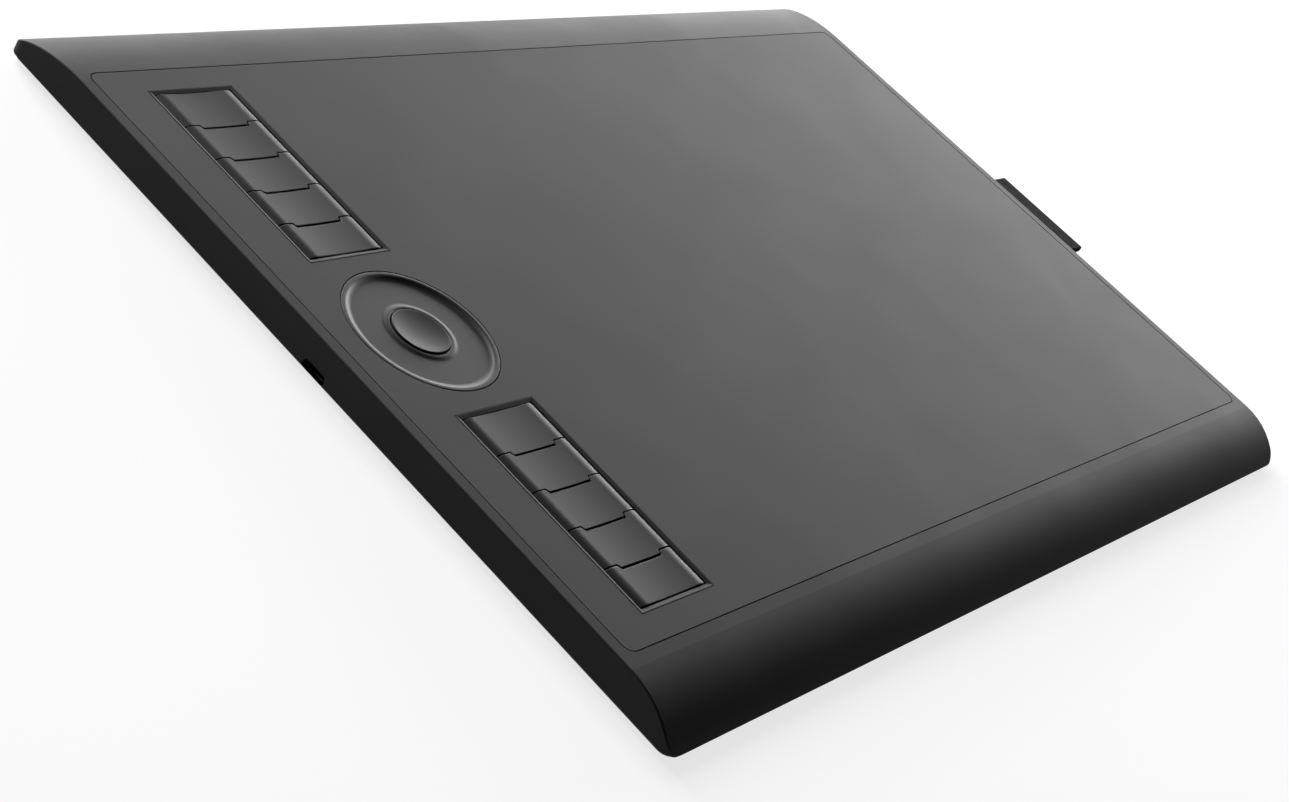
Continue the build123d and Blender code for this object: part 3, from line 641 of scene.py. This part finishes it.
class Form:
    """A bmesh in millimetres that becomes one piece of the tablet."""

    MERGE = 1e-4
    ON_PLANE = 1e-5
    SHARP_DEGREES = 38.0

    def __init__(self) -> None:
        """Starts with no geometry."""
        self.mesh = bmesh.new()

    def chain(
        self, points: Sequence[tuple[float, float]], closed: bool
    ) -> list[bmesh.types.BMVert]:
        """Draws a profile in the XZ plane.

        Args:
            points: Distances from the axis with heights.
            closed: Whether the last point joins the first.

        Returns:
            The profile's vertices in order.
        """
        verts = [self.mesh.verts.new((x, 0.0, z)) for x, z in points]
        pairs = list(zip(verts, verts[1:])) + ([(verts[-1], verts[0])] if closed else [])
        for first, second in pairs:
            self.mesh.edges.new((first, second))
        return verts

    def ease(self, verts: Iterable[bmesh.types.BMVert], width: float, segments: int = 4) -> None:
        """Rounds corners of a profile before it is spun.

        Args:
            verts: The corners.
            width: How far the rounding reaches on each side.
            segments: How many steps round it.
        """
        bmesh.ops.bevel(
            self.mesh, geom=list(verts), offset=width, offset_type="OFFSET", segments=segments,
            profile=0.5, affect="VERTICES", material=-1,
        )

    def spin(self, steps: int) -> None:
        """Turns the whole profile round the Z axis into a closed body.

        Args:
            steps: How many steps make the full turn.
        """
        geometry = list(self.mesh.verts) + list(self.mesh.edges)
        bmesh.ops.spin(
            self.mesh, geom=geometry, cent=(0, 0, 0), axis=(0, 0, 1), angle=2 * math.pi,
            steps=steps, use_merge=True, use_duplicate=False,
        )
        self.seal()

    def seal(self) -> None:
        """Merges doubles and turns every face outwards."""
        bmesh.ops.remove_doubles(self.mesh, verts=self.mesh.verts, dist=self.MERGE)
        bmesh.ops.recalc_face_normals(self.mesh, faces=self.mesh.faces)

    def plate(self, outline: Sequence[tuple[float, float]], low: float, high: float) -> None:
        """Raises a flat outline into a plate.

        Args:
            outline: Corner points in X and Y.
            low: The underside's height.
            high: The top's height.
        """
        verts = [self.mesh.verts.new((x, y, low)) for x, y in outline]
        face = self.mesh.faces.new(verts)
        raised = bmesh.ops.extrude_face_region(self.mesh, geom=[face], use_keep_orig=True)["geom"]
        tops = [item for item in raised if isinstance(item, bmesh.types.BMVert)]
        bmesh.ops.translate(self.mesh, verts=tops, vec=(0, 0, high - low))
        bmesh.ops.recalc_face_normals(self.mesh, faces=self.mesh.faces)

    def everything(self) -> list[Element]:
        """Lists all vertices, edges and faces made so far."""
        return list(self.mesh.verts) + list(self.mesh.edges) + list(self.mesh.faces)

    def cut(self, axis: int, places: Iterable[float]) -> None:
        """Adds edge loops where planes square to an axis pass through.

        Args:
            axis: The axis, 0 for X to 2 for Z.
            places: Where on the axis the planes are.
        """
        normal = [0.0, 0.0, 0.0]
        normal[axis] = 1.0
        for place in places:
            point = [place * part for part in normal]
            bmesh.ops.bisect_plane(
                self.mesh, geom=self.everything(), dist=self.ON_PLANE, plane_co=point,
                plane_no=normal,
            )

    def soften(
        self, chosen: Callable[[bmesh.types.BMEdge], bool], width: float, segments: int = 3
    ) -> None:
        """Bevels the edges that a test chooses.

        Args:
            chosen: The test, true for an edge to bevel.
            width: How far the bevel reaches on each side.
            segments: How many steps round it.
        """
        edges = [edge for edge in self.mesh.edges if len(edge.link_faces) == 2 and chosen(edge)]
        bmesh.ops.bevel(
            self.mesh, geom=edges, offset=width, offset_type="OFFSET", segments=segments,
            profile=0.5, affect="EDGES", material=-1, clamp_overlap=True,
        )

    def shift(self, x: float, y: float) -> None:
        """Moves everything made so far along X and Y."""
        bmesh.ops.translate(self.mesh, verts=self.mesh.verts, vec=(x, y, 0))

    def piece(
        self, name: str, body: str, finish: Finishes, nodes: Sequence[str]
    ) -> bpy.types.Object:
        """Turns the form into a piece that stands for CAD nodes.

        Args:
            name: The piece's name.
            body: The body that it rides on.
            finish: Its finish.
            nodes: The CAD nodes that it replaces.

        Returns:
            The new object.
        """
        bmesh.ops.scale(self.mesh, verts=self.mesh.verts, vec=(MM, MM, MM))
        data = bpy.data.meshes.new(name)
        self.mesh.to_mesh(data)
        self.mesh.free()
        data.materials.append(finish.value.material())
        data.shade_smooth()
        data.set_sharp_from_angle(angle=math.radians(self.SHARP_DEGREES))
        made = bpy.data.objects.new(name, data)
        bpy.context.scene.collection.objects.link(made)
        even = made.modifiers.new("even_normals", "WEIGHTED_NORMAL")
        even.keep_sharp = True
        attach(made, body)
        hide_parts(*nodes)
        LOG.info("piece %s: %d faces", name, len(data.polygons))
        return made


@dataclass(frozen=True)
class Space:
    """The box that CAD nodes fill at rest, in millimetres."""

    low: Vector
    high: Vector

    @classmethod
    def of(cls, *nodes: str) -> "Space":
        """Measures the box round some nodes.

        Args:
            *nodes: The CAD nodes' names.

        Returns:
            Their common box.
        """
        corners = [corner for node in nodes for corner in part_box(node)]
        low, high = (
            Vector([pick(corner[i] for corner in corners) for i in range(3)])
            for pick in (min, max)
        )
        return cls(low / MM, high / MM)

    @property
    def middle(self) -> Vector:
        """The box's centre."""
        return (self.low + self.high) / 2

    @property
    def size(self) -> Vector:
        """The box's sides."""
        return self.high - self.low


def dress(finish: Finishes, *nodes: str) -> None:
    """Gives CAD nodes that stay in view their material.

    Args:
        finish: The finish.
        *nodes: The CAD nodes' names.
    """
    for node in nodes:
        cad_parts[node].material_slots[0].material = finish.value.material()
        LOG.info("node %s: %s", node, finish.value.name)


@dataclass
class Casing:
    """The two shells, their screws and their feet."""

    foot_radius: float = 6.0
    foot_top: float = 1.3
    foot_edge: float = 0.35
    foot_steps: int = 64

    def feet(self) -> bpy.types.Object:
        """Builds the five feet with soft lower edges.

        Returns:
            The piece.
        """
        form = Form()
        radius, top = self.foot_radius, self.foot_top
        rim = form.chain([(0, 0), (radius, 0), (radius, top), (0, top)], False)
        form.ease([rim[1]], self.foot_edge)
        form.spin(self.foot_steps)
        first = form.everything()
        reach = Space.of("rubber_feet").high
        far_x, far_y = reach.x - radius, reach.y - radius
        for x, y in ((-far_x, -far_y), (-far_x, far_y), (far_x, -far_y), (far_x, far_y)):
            copied = bmesh.ops.duplicate(form.mesh, geom=first)["geom"]
            verts = [item for item in copied if isinstance(item, bmesh.types.BMVert)]
            bmesh.ops.translate(form.mesh, verts=verts, vec=(x, y, 0))
        return form.piece("soft_feet", "case", Finishes.FOOT_RUBBER, ["rubber_feet"])

    def build(self) -> None:
        """Dresses the shells and screws and builds the feet."""
        dress(Finishes.CASING, "top_cover")
        dress(Finishes.CASING_BASE, "bottom_cover")
        dress(Finishes.SCREW_STEEL, "case_screws", "guide_screws", "board_screws", "loop_screws")
        self.feet()


@dataclass
class DrawingArea:
    """The film that the pen runs on."""

    def build(self) -> None:
        """Dresses the sheet."""
        dress(Finishes.DRAWING_SHEET, "work_surface")


@dataclass
class ShortcutKeys:
    """The two blocks of five scooped keys, in millimetres."""

    count: int = 5
    pitch: float = 12.3
    gap: float = 0.3
    width: float = 26.0
    side_bevel: float = 1.65
    side_drop: float = 0.46
    scoop: float = 0.3
    top: float = 10.79
    skirt: float = 8.4
    tongue: float = 1.1
    tongue_tip: float = 7.6
    tongue_root: float = 8.2
    tip_gap: float = 0.28
    edge: float = 0.3
    edge_cosine: float = 0.7
    scoop_steps: int = 15
    blank_rise: float = 1.0
    near: float = 0.1

    def outline(self, notched: bool, tongued: bool) -> list[tuple[float, float]]:
        """Draws a key seen from above.

        Args:
            notched: Whether its rear edge clears another key's tongue.
            tongued: Whether its front edge has a tongue.

        Returns:
            The corner points, anticlockwise from the rear right.
        """
        half_x, half_y = self.width / 2, (self.pitch - self.gap) / 2
        points = [(half_x, half_y)]
        if notched:
            deep = half_y - self.tongue - self.tip_gap
            root, tip = self.tongue_root + self.gap, self.tongue_tip + self.gap
            points += [(root, half_y), (tip, deep), (-tip, deep), (-root, half_y)]
        points += [(-half_x, half_y), (-half_x, -half_y)]
        if tongued:
            low = -half_y - self.tongue
            points += [
                (-self.tongue_root, -half_y), (-self.tongue_tip, low),
                (self.tongue_tip, low), (self.tongue_root, -half_y),
            ]
        return points + [(half_x, -half_y)]

    def level(self, x: float) -> float:
        """The height of a key's top at a distance from its middle.

        Args:
            x: The distance, in millimetres.

        Returns:
            The height above the desk.
        """
        flat = self.width / 2 - self.side_bevel
        if abs(x) >= flat:
            return self.top - self.side_drop * (abs(x) - flat) / self.side_bevel
        return self.top - self.scoop * (1 - (x / flat) ** 2)

    def key(
        self, name: str, place: tuple[float, float], notched: bool, tongued: bool
    ) -> bpy.types.Object:
        """Builds one key.

        Args:
            name: The key's CAD node.
            place: The key's middle in X and Y.
            notched: Whether its rear edge clears another key's tongue.
            tongued: Whether its front edge has a tongue.

        Returns:
            The piece.
        """
        form = Form()
        high = self.top + self.blank_rise
        form.plate(self.outline(notched, tongued), self.skirt, high)
        flat = self.width / 2 - self.side_bevel
        steps = [flat * (2 * i / self.scoop_steps - 1) for i in range(self.scoop_steps + 1)]
        form.cut(0, steps)
        for vert in form.mesh.verts:
            if vert.co.z > high - self.near:
                vert.co.z = self.level(vert.co.x)

        def is_rim(edge: bmesh.types.BMEdge) -> bool:
            """Tests for an edge between the top and a side, or a corner between two sides.

            Args:
                edge: The edge, with a face on each side.

            Returns:
                True for such an edge.
            """
            first, second = (face.normal for face in edge.link_faces)
            middle_z = (edge.verts[0].co.z + edge.verts[1].co.z) / 2
            return first.dot(second) < self.edge_cosine and middle_z > self.skirt + self.near

        form.mesh.normal_update()
        form.soften(is_rim, self.edge)
        form.shift(*place)
        return form.piece(f"{name}_cap", name, Finishes.KEY_PLASTIC, [name])

    def build(self) -> None:
        """Builds the ten keys and dresses what is under them."""
        for side in ("rear", "front"):
            names = [f"{side}_key_{index + 1}" for index in range(self.count)]
            block = Space.of(*names).middle
            for index, name in enumerate(names):
                place = (block.x, block.y + ((self.count - 1) / 2 - index) * self.pitch)
                self.key(name, place, index > 0, index < self.count - 1)
                dress(Finishes.SWITCH_PLUNGER, f"{side}_plunger_{index + 1}")
            dress(Finishes.SWITCH_HOUSING, f"{side}_switches")
            dress(Finishes.GUIDE_PLASTIC, f"{side}_key_guide")


@dataclass
class TouchRing:
    """The sunk touch plate and the dished button in its middle, in millimetres."""

    radius: float = 20.9
    rim: float = 1.2
    slope: float = 1.1
    top: float = 10.75
    floor: float = 10.0
    seat: float = 19.4
    seat_level: float = 9.8
    underside: float = 8.75
    collar: float = 9.8
    collar_slope: float = 0.8
    collar_flat: float = 0.7
    collar_top: float = 10.35
    collar_fall: float = 0.25
    bore: float = 7.95
    bore_foot: float = 9.95
    guide: float = 9.05
    guide_bore: float = 7.76
    guide_low: float = 7.9
    guide_top: float = 9.7
    ring_steps: int = 160
    button: float = 7.7
    button_edge: float = 10.65
    button_ease: float = 0.22
    button_steps: int = 128
    dish: float = 0.55
    dish_steps: int = 12
    flange: float = 8.5
    flange_top: float = 7.8
    flange_low: float = 7.2
    hollow: float = 6.7
    hollow_top: float = 8.8
    post: float = 1.4
    post_low: float = 6.7
    # For the outer edge, lip, foot, step, crest and inner edge: the profile's point, width, steps.
    eases: tuple[tuple[int, float, int], ...] = (
        (6, 0.2, 3), (7, 0.45, 5), (8, 0.7, 6), (9, 0.5, 5), (10, 0.35, 4), (11, 0.2, 4),
    )

    def plate(self) -> bpy.types.Object:
        """Builds the touch plate with eased slopes.

        Returns:
            The piece.
        """
        form = Form()
        floor_out = self.radius - self.rim - self.slope
        collar_in = self.collar - self.collar_slope
        verts = form.chain(
            [
                (self.guide_bore, self.guide_low), (self.guide, self.guide_low),
                (self.guide, self.underside), (self.seat, self.underside),
                (self.seat, self.seat_level), (self.radius, self.seat_level),
                (self.radius, self.top), (self.radius - self.rim, self.top),
                (floor_out, self.floor), (self.collar, self.floor), (collar_in, self.collar_top),
                (collar_in - self.collar_flat, self.collar_top),
                (self.bore, self.collar_top - self.collar_fall), (self.bore, self.bore_foot),
                (self.guide_bore, self.guide_top),
            ],
            True,
        )
        for index, width, segments in self.eases:
            form.ease([verts[index]], width, segments)
        form.spin(self.ring_steps)
        form.shift(*Space.of("touch_ring").middle.xy)
        return form.piece("touch_plate", "case", Finishes.RING_PLASTIC, ["touch_ring"])

    def cap(self) -> bpy.types.Object:
        """Builds the button with its dish, skirt, flange and post.

        Returns:
            The piece.
        """
        form = Form()
        bowl = (self.button**2 + self.dish**2) / (2 * self.dish)
        low = self.button_edge - self.dish
        reaches = [self.button * i / self.dish_steps for i in range(self.dish_steps + 1)]
        arc = [(reach, low + bowl - math.sqrt(bowl**2 - reach**2)) for reach in reaches]
        under = [
            (self.button, self.flange_top), (self.flange, self.flange_top),
            (self.flange, self.flange_low), (self.hollow, self.flange_low),
            (self.hollow, self.hollow_top), (self.post, self.hollow_top),
            (self.post, self.post_low), (0.0, self.post_low),
        ]
        verts = form.chain(arc + under, False)
        form.ease([verts[self.dish_steps]], self.button_ease, 5)
        form.spin(self.button_steps)
        form.shift(*Space.of("touch_ring").middle.xy)
        return form.piece("button_cap", "centre_button", Finishes.RING_PLASTIC, ["centre_button"])

    def build(self) -> None:
        """Builds the plate and the button and dresses what is under them."""
        self.plate()
        self.cap()
        dress(Finishes.SWITCH_PLUNGER, "centre_plunger")
        dress(Finishes.SWITCH_HOUSING, "centre_switch")
        dress(Finishes.BOARD_LAMINATE, "ring_board")
        dress(Finishes.CONTACT_METAL, "ring_contacts")


@dataclass
class PenLoop:
    """The woven strap, folded flat on itself, with its ends inside the case. In millimetres."""

    slit: float = 0.3
    thread: float = 0.55
    run_steps: int = 46
    fold_steps: int = 10
    edge: float = 0.28
    edge_cosine: float = 0.5
    level: float = 0.001
    margin: float = 0.5
    cuts: int = 36
    space: Space = field(default_factory=lambda: Space.of("pen_loop"))

    def run_on(self, form: Form, strip: Iterable[Element], distance: float) -> list[Element]:
        """Draws the strip's end out along X.

        Args:
            form: The form that the strip is in.
            strip: The strip's end, with one edge in it.
            distance: How far to draw it.

        Returns:
            The strip's new end.
        """
        for _ in range(self.run_steps):
            edges = [item for item in strip if isinstance(item, bmesh.types.BMEdge)]
            strip = bmesh.ops.extrude_edge_only(form.mesh, edges=edges)["geom"]
            ends = [item for item in strip if isinstance(item, bmesh.types.BMVert)]
            bmesh.ops.translate(form.mesh, verts=ends, vec=(distance / self.run_steps, 0, 0))
        return [item for item in strip if not isinstance(item, bmesh.types.BMFace)]

    def build(self) -> bpy.types.Object:
        """Builds the strap from one strip that runs out, turns back and returns.

        Returns:
            The piece.
        """
        form = Form()
        thickness, width = self.space.size.z, self.space.size.y
        tail, top, height = self.space.low.x, self.space.high.z, self.space.middle.z
        layer = (thickness - self.slit) / 2
        turn = self.space.high.x - thickness / 2
        form.chain([(tail, top - layer), (tail, top)], False)
        last = self.run_on(form, form.everything(), turn - tail)
        spun = bmesh.ops.spin(
            form.mesh, geom=last, cent=(turn, 0, height), axis=(0, 1, 0), angle=math.pi,
            steps=self.fold_steps,
        )["geom_last"]
        self.run_on(form, spun, tail - turn)
        form.seal()
        faces = list(form.mesh.faces)
        raised = bmesh.ops.extrude_face_region(form.mesh, geom=faces, use_keep_orig=True)["geom"]
        ends = [item for item in raised if isinstance(item, bmesh.types.BMVert)]
        bmesh.ops.translate(form.mesh, verts=ends, vec=(0, width, 0))
        form.seal()
        form.shift(0, self.space.low.y)

        def is_selvedge(edge: bmesh.types.BMEdge) -> bool:
            """Tests for a long edge of the strap.

            Args:
                edge: The edge, with a face on each side.

            Returns:
                True for such an edge.
            """
            first, second = (face.normal for face in edge.link_faces)
            run_y = abs(edge.verts[0].co.y - edge.verts[1].co.y)
            return first.dot(second) < self.edge_cosine and run_y < self.level

        form.mesh.normal_update()
        form.soften(is_selvedge, self.edge)
        start, step = self.space.low.y + self.margin, (width - 2 * self.margin) / self.cuts
        form.cut(1, [start + i * step for i in range(self.cuts + 1)])
        strap = form.piece("strap", "case", Finishes.WEBBING, ["pen_loop"])
        self.count_threads(strap.data, turn, height, layer)
        dress(Finishes.CLAMP_PLASTIC, "loop_clamp")
        return strap

    def count_threads(
        self, data: bpy.types.Mesh, turn: float, height: float, layer: float
    ) -> None:
        """Lays a UV map over the strap that counts threads along and across it.

        Args:
            data: The strap's mesh, in metres.
            turn: Where the fold starts, along X.
            height: The fold's axis, along Z.
            layer: The thickness of one layer.
        """
        threads = data.uv_layers.new(name=WovenStrap.threads)
        bend = (self.slit + layer) / 2
        run = turn - self.space.low.x
        for loop in data.loops:
            x, y, z = (part / MM for part in data.vertices[loop.vertex_index].co)
            if x > turn:
                along = run + bend * math.atan2(x - turn, z - height)
            else:
                along = x - turn + run if z > height else run + bend * math.pi + turn - x
            across = y - self.space.low.y
            threads.data[loop.index].uv = (along / self.thread, across / self.thread)


@dataclass
class Electronics:
    """The boards, the parts on them, the flat cable and the cable socket."""

    def build(self) -> None:
        """Dresses every inner piece."""
        dress(Finishes.BOARD_LAMINATE, "main_board", "sensor_board")
        dress(Finishes.SHIELD_METAL, "shield_plate")
        dress(Finishes.CHIP_PACKAGE, "control_chip", "small_chips")
        dress(Finishes.CRYSTAL_CAN, "clock_crystal")
        dress(Finishes.CAPACITOR_BODY, "chip_capacitors")
        dress(Finishes.RIBBON_FILM, "ribbon_cable")
        dress(Finishes.CONNECTOR_PLASTIC, "ribbon_connector", "usb_tongue")
        dress(Finishes.SOCKET_SHELL, "usb_socket")


@dataclass(frozen=True)
class SoftLamp:
    """An oblong lamp that faces the tablet from a bearing and a height."""

    name: str
    bearing: float
    elevation: float
    distance: float
    width: float
    height: float
    power: float

    def build(self) -> None:
        """Hangs the lamp."""
        around, above = math.radians(self.bearing), math.radians(self.elevation)
        away = Vector((
            math.cos(around) * math.cos(above), math.sin(around) * math.cos(above),
            math.sin(above),
        ))
        data = bpy.data.lights.new(self.name, "AREA")
        data.shape = "RECTANGLE"
        data.size = self.width
        data.size_y = self.height
        data.energy = self.power
        lamp = bpy.data.objects.new(self.name, data)
        lamp.visible_camera = False
        facing = away.to_track_quat("Z", "Y").to_matrix().to_4x4()
        lamp.matrix_world = Matrix.Translation(away * self.distance) @ facing
        bpy.context.scene.collection.objects.link(lamp)
        LOG.info("lamp %s", self.name)


@dataclass
class Studio:
    """The pale floor, the lamps and the camera. In metres, apart from the floor's drop."""

    floor_half: float = 4.0
    floor_drop: float = 0.05
    # Keeps the floor's own diagonal out from under the tablet, where it shows from below.
    floor_shift: tuple[float, float] = (0.9, 0.3)
    floor_tone: float = 0.33
    floor_glow: float = 0.76
    lens: float = 67.171
    sensor: float = 36.0
    nearest: float = 0.01
    eye: tuple[float, float, float] = (-0.58218, -0.23515, 0.29619)
    turn: tuple[float, float, float] = (56.595, -29.586, -49.655)
    lamps: tuple[SoftLamp, ...] = (
        SoftLamp("back_lamp", 90.0, 28.0, 1.8, 1.0, 1.0, 39.0),
        SoftLamp("low_back_lamp", 77.2, 7.9, 1.02, 0.7, 0.25, 5.1),
        SoftLamp("low_corner_lamp", 52.7, 7.7, 1.04, 0.7, 0.25, 2.4),
        SoftLamp("near_right_lamp", 18.6, 11.4, 0.711, 0.7, 0.25, 4.3),
        SoftLamp("low_right_lamp", 4.8, 7.6, 1.06, 0.7, 0.25, 2.9),
    )

    def floor(self) -> None:
        """Lays the floor: white, with the tablet's shadow, and clear from below."""
        form = bmesh.new()
        bmesh.ops.create_grid(form, x_segments=1, y_segments=1, size=self.floor_half)
        bmesh.ops.translate(form, verts=form.verts, vec=(*self.floor_shift, -self.floor_drop * MM))
        data = bpy.data.meshes.new("floor")
        form.to_mesh(data)
        form.free()
        made = bpy.data.materials.new("floor_white")
        made.use_nodes = True
        wiring = Wiring(made.node_tree)
        shader = made.node_tree.nodes["Principled BSDF"]
        shader.inputs["Base Color"].default_value = WHITE.rgba(self.floor_tone)
        shader.inputs["Roughness"].default_value = 1.0
        shader.inputs["Specular IOR Level"].default_value = 0.0
        shader.inputs["Emission Color"].default_value = WHITE.rgba()
        rays = wiring.add("LightPath", {})
        seen = wiring.maths("MAXIMUM", rays.outputs["Is Camera Ray"], rays.outputs["Is Glossy Ray"])
        seen = wiring.maths("MAXIMUM", seen, rays.outputs["Is Transmission Ray"])
        glow = wiring.maths("MULTIPLY", seen, self.floor_glow)
        wiring.feed(shader.inputs["Emission Strength"], glow)
        clear = wiring.add("BsdfTransparent", {})
        facing = wiring.add("NewGeometry", {})
        sides = {0: facing.outputs["Backfacing"], 1: shader.outputs[0], 2: clear.outputs[0]}
        mixed = wiring.add("MixShader", sides)
        wiring.feed(made.node_tree.nodes["Material Output"].inputs["Surface"], mixed.outputs[0])
        data.materials.append(made)
        floor = bpy.data.objects.new("floor", data)
        bpy.context.scene.collection.objects.link(floor)

    def world(self) -> None:
        """Closes the room: white where the camera sees past the floor, and dark for the light."""
        room = bpy.data.worlds.new("room")
        room.use_nodes = True
        wiring = Wiring(room.node_tree)
        back = room.node_tree.nodes["Background"]
        back.inputs["Color"].default_value = WHITE.rgba()
        rays = wiring.add("LightPath", {})
        camera, through = rays.outputs["Is Camera Ray"], rays.outputs["Is Transmission Ray"]
        wiring.feed(back.inputs["Strength"], wiring.maths("MAXIMUM", camera, through))
        bpy.context.scene.world = room

    def camera(self) -> None:
        """Sets up the camera at the photograph's angle."""
        data = bpy.data.cameras.new("camera")
        data.lens = self.lens
        data.sensor_width = self.sensor
        data.clip_start = self.nearest
        made = bpy.data.objects.new("camera", data)
        made.location = self.eye
        made.rotation_euler = [math.radians(angle) for angle in self.turn]
        bpy.context.scene.collection.objects.link(made)
        bpy.context.scene.camera = made

    def build(self) -> None:
        """Builds the whole studio."""
        self.floor()
        self.world()
        self.camera()
        for lamp in self.lamps:
            lamp.build()
        bpy.context.scene.view_settings.view_transform = "Standard"


def main() -> None:
    """Builds the tablet's pieces and the studio."""
    logging.basicConfig(level=logging.INFO, format="%(name)s %(message)s")
    groups = (
        Studio(), Casing(), DrawingArea(), ShortcutKeys(), TouchRing(), PenLoop(), Electronics(),
    )
    for group in groups:
        group.build()
        LOG.info("done: %s", type(group).__name__)


if __name__ == "__main__":
    main()
